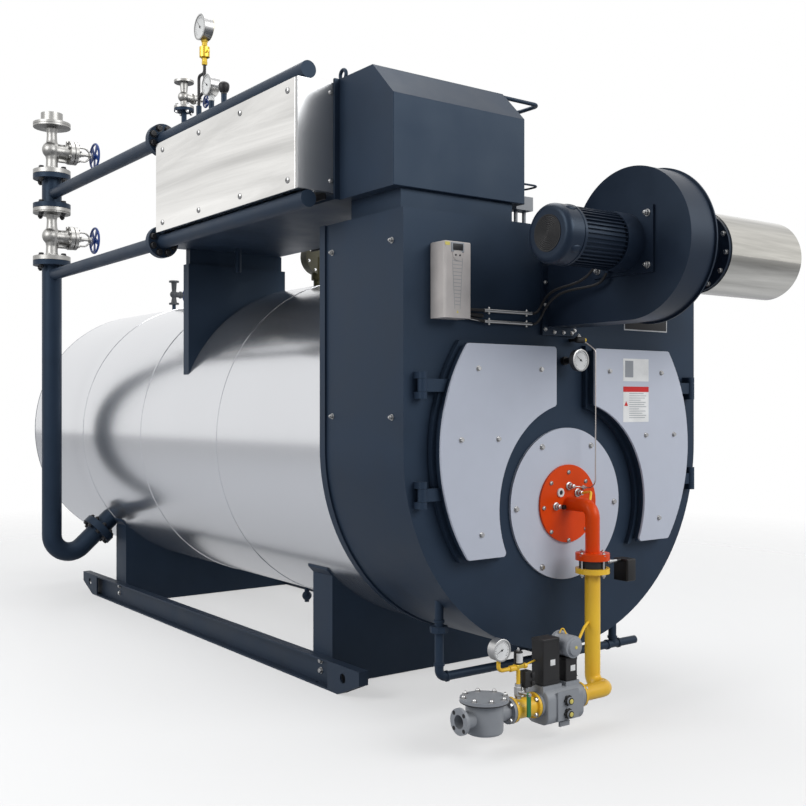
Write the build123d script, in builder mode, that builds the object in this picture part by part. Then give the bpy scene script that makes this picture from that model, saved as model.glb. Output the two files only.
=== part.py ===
# Packaged fire-tube boiler with a top economizer, a front gas burner and a forced-draught fan.
# Frame: origin on the floor in the middle of the skid, +X right, +Y to the rear, +Z up, millimetres.
import math
import os

from build123d import *

os.makedirs("parts", exist_ok=True)

# General
overrun = 5.0
seat_gap = 0.3
half = 0.5
sheet = 12.0

# Smoke box
box_radius = 800.0
box_clearance = 246.0
arch_z = box_radius + box_clearance
box_top_margin = 71.0
box_side_height = box_radius + box_top_margin
box_top_z = arch_z + box_side_height
box_depth = 508.0
rim_depth = 38.0
rim_proud = 8.0

# Shell
shell_inset = 5.0
shell_radius = box_radius - shell_inset
shell_top_z = arch_z + shell_radius
shell_length = 4214.0
shell_wall = 12.0
end_plate_thickness = 30.0
end_edge_radius = 22.0

# Skid and saddles
sheet_edge = 3.0
cover_edge = 2.0
housing_edge = 4.0
skid_front = 560.0
skid_rear_inset = 440.0
skid_rear = shell_length - skid_rear_inset
front_y = -(skid_front + skid_rear) * half
skid_inset = 229.0
skid_inner_x = shell_radius - skid_inset
skid_flange = 46.0
skid_outer_x = skid_inner_x + skid_flange
skid_height = 125.0
skid_sheet = 8.0
bevel_length = 161.0
bevel_height = 67.0
end_plate_length = 240.0
tow_hole_radius = 21.0
tow_hole_inset = 122.0
tow_hole_z = 74.0
anchor_radius = 9.0
anchor_inset = 357.0
anchor_y = (skid_rear - skid_front) * half - anchor_inset
saddle_foot_z = 5.0
saddle_depth = 157.0
front_saddle_y = 833.0
rear_saddle_inset = 1053.0
rear_saddle_y = shell_length - rear_saddle_inset
saddle_pad = 8.0
saddle_pad_reach = 26.0
saddle_pad_x = skid_inner_x + saddle_pad_reach
saddle_pad_drop = 506.0
saddle_pad_top_z = arch_z - saddle_pad_drop

# Economizer
eco_overhang = 26.0
eco_left_x = -box_radius - eco_overhang
eco_right_x = -195.0
hood_front = 24.0
hood_rear = 373.0
hood_neck_height = 78.0
hood_bottom_z = box_top_z + hood_neck_height
hood_shoulder_height = 330.0
hood_shoulder_z = hood_bottom_z + hood_shoulder_height
hood_height = 460.0
hood_top_z = hood_bottom_z + hood_height
hood_top_front = 153.0
neck_inset_x = 48.0
neck_front = 45.0
neck_rear = 365.0
eco_flange = 12.0
eco_flange_out = 22.0
eco_rear = 1985.0
eco_bottom_step = 8.0
eco_bottom_z = hood_bottom_z + eco_bottom_step
eco_top_step = 10.0
eco_top_z = hood_top_z - eco_top_step
cover_reach = 179.0
cover_front = 404.0
cover_rear = 1686.0
cover_bottom_step = 19.0
cover_bottom_z = eco_bottom_z + cover_bottom_step
cover_top_step = 5.0
cover_top_z = eco_top_z - cover_top_step
support_inset = 98.0
support_left_x = eco_left_x + support_inset
support_right_x = -170.0
support_depth = 60.0
support_top_step = 8.0
support_top_z = box_top_z + support_top_step
support_neck_inset = 14.0
stub_x = -510.0
stub_y = 1810.0
stub_radius = 16.0
stub_bottom_rise = 43.0
stub_bottom_z = shell_top_z + stub_bottom_rise

# Headers and riser
header_reach = 129.0
header_x = eco_left_x - header_reach
header_radius = 33.0
header_front = 388.0
header_flange_y = 1731.0
header_flange_radius = 76.0
header_flange_half = 18.0
riser_inset = 865.0
riser_y = shell_length - riser_inset
riser_radius = 57.0
riser_flange_radius = 108.0
flange_thickness = 28.0
cap_joint_rise = 430.0
cap_joint_z = hood_top_z + cap_joint_rise
cap_flange = 14.0
cap_radius = 63.0
cap_height = 58.0
upper_joint_rise = 134.0
upper_joint_z = hood_top_z + upper_joint_rise
middle_joint_drop = 69.0
middle_joint_z = hood_top_z - middle_joint_drop
lower_joint_rise = 69.0
lower_joint_z = eco_bottom_z + lower_joint_rise
upper_branch_rise = 18.0
upper_branch_z = hood_top_z + upper_branch_rise
lower_branch_drop = 14.0
lower_branch_z = eco_bottom_z - lower_branch_drop
bend_radius = 108.0
nozzle_angle = 42.0
nozzle_reach = 105.0
nozzle_joint_r = shell_radius + nozzle_reach
nozzle_clearance = 6.0
nozzle_flange_radius = 100.0
nozzle_flange_thickness = 22.0

# Globe valves
valve_neck_radius = 34.0
valve_ball_radius = 52.0
valve_barrel_radius = 48.0
valve_barrel_end = 98.0
bonnet_radius = 70.0
bonnet_end = 156.0
yoke_radius = 34.0
yoke_rod = 7.0
yoke_end = 236.0
stem_radius = 10.0
wheel_x = 262.0
wheel_radius = 75.0
wheel_rim = 7.0
wheel_hub_radius = 17.0
wheel_hub_length = 30.0
wheel_spoke = 5.0
wheel_spokes = 5
wheel_gap = 0.5

# Doors
burner_drop = 223.0
burner_z = arch_z - burner_drop
door_margin = 120.0
door_outer_radius = box_radius - door_margin
door_band = 278.0
door_inner_radius = door_outer_radius - door_band
door_inner_x = 107.0
door_rise = 394.0
door_top_z = arch_z + door_rise
door_drop = 398.0
door_bottom_z = arch_z - door_drop
door_gap = 2.0
door_step = 12.0
door_groove = 8.0
door_base = 20.0
door_mid = 22.0
door_lip = 10.0
panel_thickness = 9.0
panel_corner = 14.0
panel_edge = 2.0
opening_inset = 45.0
hinge_inset = 62.0
hinge_x = box_radius - hinge_inset
hinge_y_out = 30.0
hinge_upper_rise = 239.0
hinge_upper_z = arch_z + hinge_upper_rise
hinge_lower_drop = 153.0
hinge_lower_z = arch_z - hinge_lower_drop
hinge_height = 96.0
hinge_lug = 24.0
hinge_lug_radius = 17.0
hinge_pin_radius = 9.0
hinge_pin_gap = 0.5
hinge_lift_gap = 1.0
strap_reach = 120.0
strap_thickness = 12.0

# Burner and gas line
burner_plate_margin = 102.0
burner_plate_radius = door_inner_radius - burner_plate_margin
burner_plate_thickness = 11.0
burner_flange_radius = 154.0
burner_flange_thickness = 9.0
gas_y = 149.0
gas_radius = 30.0
gas_elbow_radius = 28.0
gas_bend = 46.0
gas_joint_top_drop = 181.0
gas_joint_top_z = burner_z - gas_joint_top_drop
gas_flange_radius = 66.0
gas_flange_thickness = 20.0
damper_ring_radius = 52.0
damper_top_drop = 208.0
damper_top_z = burner_z - damper_top_drop
damper_bottom_drop = 239.0
damper_bottom_z = burner_z - damper_bottom_drop
damper_shaft_radius = 6.0
actuator_x = 157.0
actuator_width = 50.0
actuator_depth = 71.0
actuator_bottom_drop = 305.0
actuator_bottom_z = burner_z - actuator_bottom_drop
actuator_top_drop = 217.0
actuator_top_z = burner_z - actuator_top_drop
train_y = 229.0
train_z = 137.0
train_bend = 38.0
train_flange_radius = 46.0
train_flange = 12.0
train_flange_x = -151.0
block_left_x = -385.0
block_right_x = -175.0
block_half_depth = 58.0
block_bottom_z = 66.0
block_top_z = 205.0
block_body_length = 182.0
block_shoulder_z = 192.0
block_round = 34.0
block_edge = 5.0
block_plate = 104.0
block_plate_proud = 6.0
tall_coil_x = -328.0
tall_coil_width = 82.0
tall_coil_depth = 62.0
tall_coil_top_z = 372.0
short_coil_x = -226.0
short_coil_width = 58.0
short_coil_top_z = 290.0
regulator_radius = 40.0
regulator_z = 330.5
regulator_half = 44.0
knob_x = -280.0
knob_radius = 14.0
knob_length = 24.0
knob_upper_z = 150.0
knob_lower_z = 103.0
ball_valve_left_x = -505.0
ball_body_radius = 36.0
filter_x = -620.0
filter_radius = 66.0
filter_cover_radius = 86.0
filter_cover = 15.0
filter_bottom_z = 80.0
filter_top_z = 188.0
filter_inlet_x = -735.0
filter_foot = 12.0
filter_neck_radius = 30.0
filter_bore_radius = 24.0

# Gauge line on the gas train
gauge_line_x = -462.0
gauge_line_radius = 7.0
cock_bottom_z = 173.0
cock_top_z = 226.0
cock_radius = 14.0
cock_z = 197.0
lever_y = 284.0
lever_thickness = 6.0
lever_width = 16.0
lever_length = 78.0
gauge_line_z = 283.0
gauge_x = -555.0
gauge_z = 359.0
gauge_radius = 38.0
gauge_depth = 32.0
coil_radius = 14.0
coil_top_z = 342.0
switch_x = -426.0
switch_width = 34.0
switch_bottom_z = 209.0
switch_top_z = 266.0

# Front drain pipe
drain_y = 115.0
drain_z = 188.0
drain_radius = 17.0
drain_left_x = -548.0
drain_right_x = 400.0
drain_end_x = 541.0
drain_union_radius = 33.0
drain_union_z = 358.0
drain_union_height = 24.0
drain_bend = 30.0

# Fan
fan_y = 405.0
fan_drop = 117.0
fan_z = box_top_z - fan_drop
fan_left_x = -108.0
fan_right_x = 25.0
fan_rim = 8.0
fan_rim_thickness = 6.0
duct_top_drop = 40.0
duct_top_z = fan_z - duct_top_drop
duct_flange_out = 28.0
duct_flange = 14.0
duct_flange_bottom_drop = 313.0
duct_flange_bottom_z = fan_z - duct_flange_bottom_drop
duct_flange_top_drop = 26.0
duct_flange_top_z = fan_z - duct_flange_top_drop
scroll_y = 430.0
scroll_drop = 4.0
scroll_z = fan_z - scroll_drop
scroll_radius = 276.0
motor_plate_half_y = 143.0
motor_plate_half_z = 118.0
motor_plate = 10.0
motor_front_x = -200.0
motor_body_radius = 94.0
motor_fin_radius = 103.0
motor_fin = 3.0
motor_fins = 40
motor_shield_radius = 106.0
cowl_start_x = -400.0
cowl_end_x = -489.0
cowl_radius = 104.0
cowl_round = 22.0
intake_neck_radius = 105.0
intake_ring_x = 300.0
intake_ring_radius = 152.0
intake_ring = 12.0
intake_end_x = 755.0
intake_radius = 157.0
intake_wall = 6.0

# Front fittings
inverter_inset = 122.0
inverter_left_x = inverter_inset - box_radius
inverter_width = 124.0
inverter_depth = 82.0
inverter_drop = 391.0
inverter_bottom_z = box_top_z - inverter_drop
inverter_height = 274.0
inverter_top_z = inverter_bottom_z + inverter_height
inverter_crown = 10.0
inverter_edge = 6.0
rail_left_x = -443.0
rail_right_x = -203.0
rail_off = 14.0
rail_upper_rise = 40.0
rail_upper_z = inverter_bottom_z + rail_upper_rise
rail_lower_drop = 1.0
rail_lower_z = inverter_bottom_z - rail_lower_drop
rail_stud_radius = 4.0
rail_stud_inset = 25.0
rail_tube_radius = 7.0
cable_radius = 5.0
cable_lead = 25.0
cable_arc_share = 0.45
cable_entry_rise = 11.0
cable_entry_z = inverter_bottom_z + cable_entry_rise
gland_radius = 9.0
gland_length = 12.0
gland_lead = 32.0
upper_gland_x = -172.0
upper_gland_tilt = 45.0
lower_gland_x = -135.0
lower_gland_tilt = 30.0
dial_x = -8.0
dial_drop = 51.0
dial_z = door_top_z - dial_drop
dial_radius = 42.0
dial_front = 92.0
dial_depth = 20.0
dial_stem_radius = 11.0
junction_left_x = -150.0
junction_width = 90.0
junction_y = 150.0
junction_depth = 60.0
junction_lift = 80.0
junction_bottom_z = box_top_z + junction_lift
junction_height = 55.0
junction_top_z = junction_bottom_z + junction_height
junction_tube_radius = 8.0

# Fittings on the upper header
vent_valve_y = 1484.0
vent_stub_radius = 12.0
vent_flange_rise = 83.0
vent_flange_z = upper_branch_z + vent_flange_rise
vent_flange_radius = 45.0
vent_flange = 12.0
vent_top_rise = 225.0
vent_top_z = upper_branch_z + vent_top_rise
vent_axis_rise = 149.0
vent_axis_z = upper_branch_z + vent_axis_rise
vent_body_radius = 24.0
vent_wheel_x = 113.0
vent_wheel_radius = 27.0
vent_wheel_rim = 4.0
stand_y = 1328.0
stand_top_rise = 73.0
stand_top_z = upper_branch_z + stand_top_rise
siphon_radius = 6.0
siphon_loop = 30.0
siphon_turn_rise = 207.0
siphon_turn_z = upper_branch_z + siphon_turn_rise
stand_cock_y = 1271.0
stand_cock_rise = 242.0
stand_cock_z = upper_branch_z + stand_cock_rise
stand_cock_top_rise = 355.0
stand_cock_top_z = upper_branch_z + stand_cock_top_rise
stand_cock_radius = 11.0
stand_gauge_rise = 406.0
stand_gauge_z = upper_branch_z + stand_gauge_rise
stand_gauge_radius = 55.0
stand_gauge_depth = 40.0
second_gauge_y = 1203.0
second_gauge_rise = 135.0
second_gauge_z = upper_branch_z + second_gauge_rise
second_gauge_radius = 45.0
air_vent_y = 1083.0
air_vent_rise = 100.0
air_vent_z = upper_branch_z + air_vent_rise
air_vent_radius = 23.0

# Shell fittings
top_valve_inset = 486.0
top_valve_y = shell_length - top_valve_inset
top_valve_stub_rise = 52.0
top_valve_stub_z = shell_top_z + top_valve_stub_rise
top_valve_flange_radius = 34.0
top_valve_axis_rise = 69.0
top_valve_axis_z = top_valve_stub_z + top_valve_axis_rise
top_valve_height = 151.0
top_valve_top_z = top_valve_stub_z + top_valve_height
top_valve_wheel_x = 88.0
top_valve_wheel_radius = 43.0
port_y = 1865.0
port_rise = 165.0
port_z = shell_top_z + port_rise
port_radius = 92.0
port_thickness = 60.0
port_neck_radius = 36.0
port_neck_rise = 44.0
port_neck_z = shell_top_z + port_neck_rise
drain_valve_y = 1980.0
drain_valve_drop = 121.0
drain_valve_low_z = arch_z - shell_radius - drain_valve_drop
drain_valve_radius = 13.0

side_pipe_radius = 8.0
side_pipe_front = 148.0
side_pipe_rear = 290.0
side_pipe_drop = 15.0
side_pipe_z = hood_top_z - side_pipe_drop
side_pipe_reach = 195.0
side_pipe_bend = 30.0
side_handle_radius = 4.0
side_handle_front = 45.0
side_handle_rear = 140.0
side_handle_rise = 85.0
side_handle_z = hood_bottom_z + side_handle_rise
side_handle_reach = 97.0
eye_y = 379.0
eye_radius = 20.0
eye_rod = 7.0


def front_plane(y):
    # Upright plane at this Y, looking to the rear: local x is X, local y is Z, extrusions go to -Y.
    return Plane.XZ.offset(-y)


def side_plane(x):
    # Upright plane at this X: local x is Y, local y is Z, extrusions go to +X.
    return Plane.YZ.offset(x)


low_left = (Align.MIN, Align.MIN)
low_mid = (Align.CENTER, Align.MIN)
base_low = (Align.CENTER, Align.CENTER, Align.MIN)
along_y = (90, 0, 0)
along_x = (0, 90, 0)

box_front_y = front_y
box_back_y = front_y + box_depth

# Smoke box
with BuildPart() as smoke_box_front:
    with BuildSketch(front_plane(box_front_y + sheet)):
        with Locations((0, arch_z)):
            Circle(box_radius)
            Rectangle(2 * box_radius, box_side_height, align=low_mid)
    extrude(amount=sheet)
    with BuildSketch(front_plane(box_front_y + sheet)) as door_openings:
        with Locations((0, arch_z)):
            Circle(door_outer_radius - opening_inset)
        with Locations((0, (door_top_z + door_bottom_z) * half)):
            Rectangle(2 * box_radius, door_top_z - door_bottom_z - 2 * opening_inset, mode=Mode.INTERSECT)
        with Locations((0, burner_z)):
            Circle(door_inner_radius + opening_inset, mode=Mode.SUBTRACT)
        with Locations((0, arch_z)):
            Rectangle(2 * (door_inner_x + opening_inset), 2 * box_radius, mode=Mode.SUBTRACT)
    extrude(amount=sheet, mode=Mode.SUBTRACT)

with BuildPart() as smoke_box_casing:
    with BuildSketch(front_plane(box_back_y - sheet)):
        with Locations((0, arch_z)):
            Circle(box_radius)
            Rectangle(2 * box_radius, box_side_height, align=low_mid)
            Circle(box_radius - sheet, mode=Mode.SUBTRACT)
            Rectangle(2 * (box_radius - sheet), box_side_height - sheet, align=low_mid, mode=Mode.SUBTRACT)
    extrude(amount=box_depth - 2 * sheet)
    with BuildSketch(front_plane(box_back_y)):
        with Locations((0, arch_z)):
            Circle(box_radius)
            Rectangle(2 * box_radius, box_side_height, align=low_mid)
    extrude(amount=sheet)
    with BuildSketch(front_plane(box_back_y + rim_depth)):
        with Locations((0, arch_z)):
            Circle(box_radius + rim_proud)
            Rectangle(2 * (box_radius + rim_proud), box_side_height, align=low_mid)
            Circle(shell_radius + seat_gap, mode=Mode.SUBTRACT)
    extrude(amount=rim_depth)

# Shell
shell_end_y = front_y + shell_length
with BuildPart() as rear_end_plate:
    with BuildSketch(front_plane(shell_end_y)):
        with Locations((0, arch_z)):
            Circle(shell_radius)
    extrude(amount=end_plate_thickness)
    fillet(rear_end_plate.edges().group_by(Axis.Y)[-1], end_edge_radius)

# Saddles. The nozzle points at the shell's centre line, and the rear saddle is cut out round it.
nozzle_dir = Vector(1, 0, 0).rotate(Axis.Y, -nozzle_angle)
nozzle_joint = Vector(0, front_y + riser_y, arch_z) - nozzle_dir * nozzle_joint_r
nozzle_plane = Plane(origin=nozzle_joint, z_dir=nozzle_dir)
with BuildPart() as saddles:
    for saddle_y in (front_saddle_y, rear_saddle_y):
        with BuildSketch(front_plane(front_y + saddle_y + saddle_depth)):
            with Locations((0, saddle_foot_z)):
                Rectangle(2 * skid_inner_x, arch_z - saddle_foot_z, align=low_mid)
            with Locations((0, arch_z)):
                Circle(shell_radius + saddle_pad, mode=Mode.SUBTRACT)
        extrude(amount=saddle_depth)
        with BuildSketch(front_plane(front_y + saddle_y + saddle_depth)):
            with Locations((0, arch_z)):
                Circle(shell_radius + saddle_pad)
                Circle(shell_radius, mode=Mode.SUBTRACT)
            with Locations((0, 0)):
                Rectangle(2 * saddle_pad_x, saddle_pad_top_z, align=low_mid, mode=Mode.INTERSECT)
        extrude(amount=saddle_depth)
    with BuildSketch(nozzle_plane):
        Circle(riser_radius + nozzle_clearance)
    extrude(amount=nozzle_joint_r - shell_radius + riser_radius, mode=Mode.SUBTRACT)

# Skid
skid_span = skid_rear - skid_front
with BuildPart() as left_skid_beam:
    with BuildSketch(front_plane(front_y + skid_rear)):
        with Locations((-skid_outer_x, 0)):
            Rectangle(skid_flange, skid_height, align=low_left)
        with Locations((-skid_outer_x - overrun, skid_sheet)):
            Rectangle(skid_flange - skid_sheet + overrun, skid_height - 2 * skid_sheet, align=low_left,
                      mode=Mode.SUBTRACT)
    extrude(amount=skid_span)
    for plate_y in (front_y + skid_front, front_y + skid_rear - end_plate_length):
        with Locations((-skid_outer_x, plate_y, 0)):
            Box(skid_sheet, end_plate_length, skid_height, align=(Align.MIN, Align.MIN, Align.MIN))
    for end_y in (front_y + skid_front, front_y + skid_rear - skid_sheet):
        with Locations((-skid_outer_x, end_y, 0)):
            Box(skid_flange, skid_sheet, skid_height, align=(Align.MIN, Align.MIN, Align.MIN))
    for hole_y in (front_y + skid_front + tow_hole_inset, front_y + skid_rear - tow_hole_inset):
        with Locations((-skid_outer_x, hole_y, tow_hole_z)):
            Cylinder(tow_hole_radius, 2 * skid_flange * half, rotation=along_x, mode=Mode.SUBTRACT)
    with BuildSketch(side_plane(-skid_outer_x - overrun)):
        with BuildLine():
            Polyline((front_y + skid_front, 0), (front_y + skid_front, bevel_height),
                     (front_y + skid_front + bevel_length, 0), close=True)
        make_face()
        with BuildLine():
            Polyline((front_y + skid_rear, 0), (front_y + skid_rear, bevel_height),
                     (front_y + skid_rear - bevel_length, 0), close=True)
        make_face()
    extrude(amount=skid_flange + 2 * overrun, mode=Mode.SUBTRACT)
    with Locations((-skid_outer_x + skid_flange * half, -anchor_y, 0),
                   (-skid_outer_x + skid_flange * half, anchor_y, 0)):
        Cylinder(anchor_radius, 2 * skid_sheet + overrun, mode=Mode.SUBTRACT)

with BuildPart() as right_skid_beam:
    mirror(left_skid_beam.part, about=Plane.YZ)

# Economizer
eco_width = eco_right_x - eco_left_x
with BuildPart() as economizer_hood:
    with BuildSketch(side_plane(eco_left_x)):
        with BuildLine():
            Polyline((front_y + hood_front, hood_bottom_z), (front_y + hood_front, hood_shoulder_z),
                     (front_y + hood_top_front, hood_top_z), (front_y + hood_rear, hood_top_z),
                     (front_y + hood_rear, hood_bottom_z), close=True)
        make_face()
    extrude(amount=eco_width)
    with Locations((eco_left_x + neck_inset_x, front_y + neck_front, box_top_z)):
        Box(eco_width - 2 * neck_inset_x, neck_rear - neck_front, hood_bottom_z - box_top_z,
            align=(Align.MIN, Align.MIN, Align.MIN))
    with Locations((eco_left_x - eco_flange_out, front_y + hood_rear, hood_bottom_z)):
        Box(eco_width + 2 * eco_flange_out, eco_flange, hood_top_z - hood_bottom_z,
            align=(Align.MIN, Align.MIN, Align.MIN))
    fillet(economizer_hood.edges().filter_by(GeomType.LINE).group_by(Axis.Y)[0], sheet_edge)
    for eye_x in (eco_left_x + eye_radius, eco_right_x - eye_radius):
        with Locations((eye_x, front_y + eye_y, hood_top_z + eye_radius)):
            Torus(eye_radius, eye_rod, rotation=along_x)
    with BuildLine() as side_pipe_route:
        FilletPolyline((eco_right_x, front_y + side_pipe_front, side_pipe_z),
                       (eco_right_x + side_pipe_reach, front_y + side_pipe_front, side_pipe_z),
                       (eco_right_x + side_pipe_reach, front_y + side_pipe_rear, side_pipe_z),
                       (eco_right_x, front_y + side_pipe_rear, side_pipe_z), radius=side_pipe_bend)
    with BuildSketch(side_plane(eco_right_x)):
        with Locations((front_y + side_pipe_front, side_pipe_z)):
            Circle(side_pipe_radius)
    sweep()
    with BuildLine() as side_handle_route:
        FilletPolyline((eco_right_x, front_y + side_handle_front, side_handle_z),
                       (eco_right_x + side_handle_reach, front_y + side_handle_front, side_handle_z),
                       (eco_right_x + side_handle_reach, front_y + side_handle_rear, side_handle_z),
                       (eco_right_x, front_y + side_handle_rear, side_handle_z), radius=side_pipe_bend)
    with BuildSketch(side_plane(eco_right_x)):
        with Locations((front_y + side_handle_front, side_handle_z)):
            Circle(side_handle_radius)
    sweep()

with BuildPart() as economizer_body:
    with Locations((eco_left_x, front_y + hood_rear + eco_flange, eco_bottom_z)):
        Box(eco_width, eco_rear - hood_rear - eco_flange, eco_top_z - eco_bottom_z,
            align=(Align.MIN, Align.MIN, Align.MIN))
    with Locations((stub_x, front_y + stub_y, stub_bottom_z)):
        Cylinder(stub_radius, eco_bottom_z - stub_bottom_z, align=base_low)

with BuildPart() as left_coil_cover:
    with Locations((eco_left_x - cover_reach, front_y + cover_front, cover_bottom_z)):
        Box(cover_reach, cover_rear - cover_front, cover_top_z - cover_bottom_z,
            align=(Align.MIN, Align.MIN, Align.MIN))
    fillet(left_coil_cover.edges(), cover_edge)

with BuildPart() as right_coil_cover:
    with Locations((eco_right_x, front_y + cover_front, cover_bottom_z)):
        Box(cover_reach, cover_rear - cover_front, cover_top_z - cover_bottom_z,
            align=(Align.MIN, Align.MIN, Align.MIN))
    fillet(right_coil_cover.edges(), cover_edge)

with BuildPart() as economizer_support:
    with BuildSketch(front_plane(front_y + eco_rear)):
        with Locations((support_left_x, arch_z)):
            Rectangle(support_right_x - support_left_x, support_top_z - arch_z, align=low_left)
        with Locations((0, arch_z)):
            Circle(shell_radius, mode=Mode.SUBTRACT)
    extrude(amount=support_depth)
    support_neck_y = front_y + eco_rear - support_depth + support_neck_inset
    with Locations((support_left_x + support_neck_inset, support_neck_y, support_top_z)):
        Box(support_right_x - support_left_x - 2 * support_neck_inset, support_depth - support_neck_inset,
            eco_bottom_z - support_top_z, align=(Align.MIN, Align.MIN, Align.MIN))

# Headers, branch pipes and riser
with BuildPart() as upper_header:
    with Locations((header_x, front_y + (header_front + header_flange_y) * half, upper_branch_z)):
        Cylinder(header_radius, header_flange_y - header_front, rotation=along_y)
    with Locations((header_x, front_y + header_flange_y - header_flange_half * half, upper_branch_z)):
        Cylinder(header_flange_radius, header_flange_half, rotation=along_y)
    with Locations((header_x, front_y + vent_valve_y, upper_branch_z)):
        Cylinder(vent_stub_radius, vent_flange_z - upper_branch_z, align=base_low)
    with Locations((header_x, front_y + vent_valve_y, vent_flange_z)):
        Cylinder(vent_flange_radius, vent_flange, align=base_low)
    with Locations((header_x, front_y + stand_y, upper_branch_z),
                   (header_x, front_y + second_gauge_y, upper_branch_z),
                   (header_x, front_y + air_vent_y, upper_branch_z)):
        Cylinder(vent_stub_radius, stand_top_z - upper_branch_z, align=base_low)
    with Locations((header_x, front_y + air_vent_y, air_vent_z)):
        Sphere(air_vent_radius)
    with Locations((header_x, front_y + air_vent_y, upper_branch_z)):
        Cylinder(vent_stub_radius, air_vent_z - upper_branch_z, align=base_low)

with BuildPart() as lower_header:
    with Locations((header_x, front_y + (header_front + header_flange_y) * half, lower_branch_z)):
        Cylinder(header_radius, header_flange_y - header_front, rotation=along_y)
    with Locations((header_x, front_y + header_flange_y - header_flange_half * half, lower_branch_z)):
        Cylinder(header_flange_radius, header_flange_half, rotation=along_y)

with BuildPart() as upper_branch_pipe:
    with Locations((header_x, front_y + (header_flange_y + riser_y) * half, upper_branch_z)):
        Cylinder(header_radius, riser_y - header_flange_y, rotation=along_y)
    with Locations((header_x, front_y + header_flange_y + header_flange_half * half, upper_branch_z)):
        Cylinder(header_flange_radius, header_flange_half, rotation=along_y)
    with Locations((header_x, front_y + riser_y, upper_branch_z)):
        Cylinder(riser_radius, 2 * header_flange_radius, mode=Mode.SUBTRACT)

with BuildPart() as lower_branch_pipe:
    with Locations((header_x, front_y + (header_flange_y + riser_y) * half, lower_branch_z)):
        Cylinder(header_radius, riser_y - header_flange_y, rotation=along_y)
    with Locations((header_x, front_y + header_flange_y + header_flange_half * half, lower_branch_z)):
        Cylinder(header_flange_radius, header_flange_half, rotation=along_y)
    with Locations((header_x, front_y + riser_y, lower_branch_z)):
        Cylinder(riser_radius, 2 * header_flange_radius, mode=Mode.SUBTRACT)

with BuildPart() as riser_spool:
    with Locations((header_x, front_y + riser_y, middle_joint_z)):
        Cylinder(riser_radius, upper_joint_z - middle_joint_z, align=base_low)
        Cylinder(riser_flange_radius, flange_thickness, align=base_low)
    with Locations((header_x, front_y + riser_y, upper_joint_z - flange_thickness)):
        Cylinder(riser_flange_radius, flange_thickness, align=base_low)

# The bend lies in the upright cross plane of the riser.
bend_share = (header_x - nozzle_joint.X) / nozzle_dir.X
bend_corner = nozzle_joint + nozzle_dir * bend_share
with BuildPart() as riser_pipe:
    with BuildLine() as riser_route:
        FilletPolyline((header_x, front_y + riser_y, lower_joint_z), tuple(bend_corner), tuple(nozzle_joint),
                       radius=bend_radius)
    with BuildSketch(Plane(origin=(header_x, front_y + riser_y, lower_joint_z), z_dir=(0, 0, -1))):
        Circle(riser_radius)
    sweep()
    with Locations((header_x, front_y + riser_y, lower_joint_z - flange_thickness)):
        Cylinder(riser_flange_radius, flange_thickness, align=base_low)
    with BuildSketch(nozzle_plane):
        Circle(nozzle_flange_radius)
    extrude(amount=-nozzle_flange_thickness)

with BuildPart() as shell_nozzle:
    with BuildSketch(nozzle_plane):
        Circle(riser_radius)
    extrude(amount=nozzle_joint_r - shell_radius + riser_radius)
    with BuildSketch(nozzle_plane):
        Circle(nozzle_flange_radius)
    extrude(amount=nozzle_flange_thickness)
    with Locations((0, front_y + riser_y, arch_z)):
        Cylinder(shell_radius, 4 * nozzle_flange_radius, rotation=along_y, mode=Mode.SUBTRACT)

with BuildPart() as shell_casing:
    with BuildSketch(front_plane(shell_end_y - end_plate_thickness)):
        with Locations((0, arch_z)):
            Circle(shell_radius)
            Circle(shell_radius - shell_wall, mode=Mode.SUBTRACT)
    extrude(amount=shell_length - box_depth - end_plate_thickness)

with BuildPart() as outlet_cap:
    with Locations((header_x, front_y + riser_y, cap_joint_z)):
        Cylinder(riser_flange_radius, cap_flange, align=base_low)
        Cylinder(cap_radius, cap_flange + cap_height, align=base_low)

# Globe valves on the riser
upper_valve_height = cap_joint_z - upper_joint_z
upper_valve_axis_z = upper_joint_z + upper_valve_height * half
with BuildPart() as upper_valve:
    with Locations((header_x, front_y + riser_y, upper_joint_z)):
        Cylinder(riser_flange_radius, flange_thickness, align=base_low)
        Cylinder(valve_neck_radius, upper_valve_height, align=base_low)
    with Locations((header_x, front_y + riser_y, cap_joint_z - cap_flange)):
        Cylinder(riser_flange_radius, cap_flange, align=base_low)
    with Locations((header_x, front_y + riser_y, upper_valve_axis_z)):
        Sphere(valve_ball_radius)
    with BuildSketch(side_plane(header_x)):
        with Locations((front_y + riser_y, upper_valve_axis_z)):
            Circle(valve_barrel_radius)
    extrude(amount=valve_barrel_end)
    with BuildSketch(side_plane(header_x + valve_barrel_end)):
        with Locations((front_y + riser_y, upper_valve_axis_z)):
            Circle(bonnet_radius)
    extrude(amount=bonnet_end - valve_barrel_end)
    with BuildSketch(side_plane(header_x + bonnet_end)):
        with Locations((front_y + riser_y, upper_valve_axis_z)):
            Circle(stem_radius)
        with Locations((front_y + riser_y, upper_valve_axis_z + yoke_radius),
                       (front_y + riser_y, upper_valve_axis_z - yoke_radius)):
            Circle(yoke_rod)
    extrude(amount=yoke_end - bonnet_end)
    with BuildSketch(side_plane(header_x + yoke_end)):
        with Locations((front_y + riser_y, upper_valve_axis_z)):
            Rectangle(2 * yoke_rod, 2 * (yoke_radius + yoke_rod))
    extrude(amount=-2 * yoke_rod)

lower_valve_drop = upper_joint_z - lower_joint_z
with BuildPart() as lower_valve:
    with Locations((0, 0, -lower_valve_drop)):
        add(upper_valve.part)
    with Locations((header_x, front_y + riser_y, middle_joint_z - flange_thickness)):
        Cylinder(riser_flange_radius, flange_thickness, align=base_low)

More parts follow.
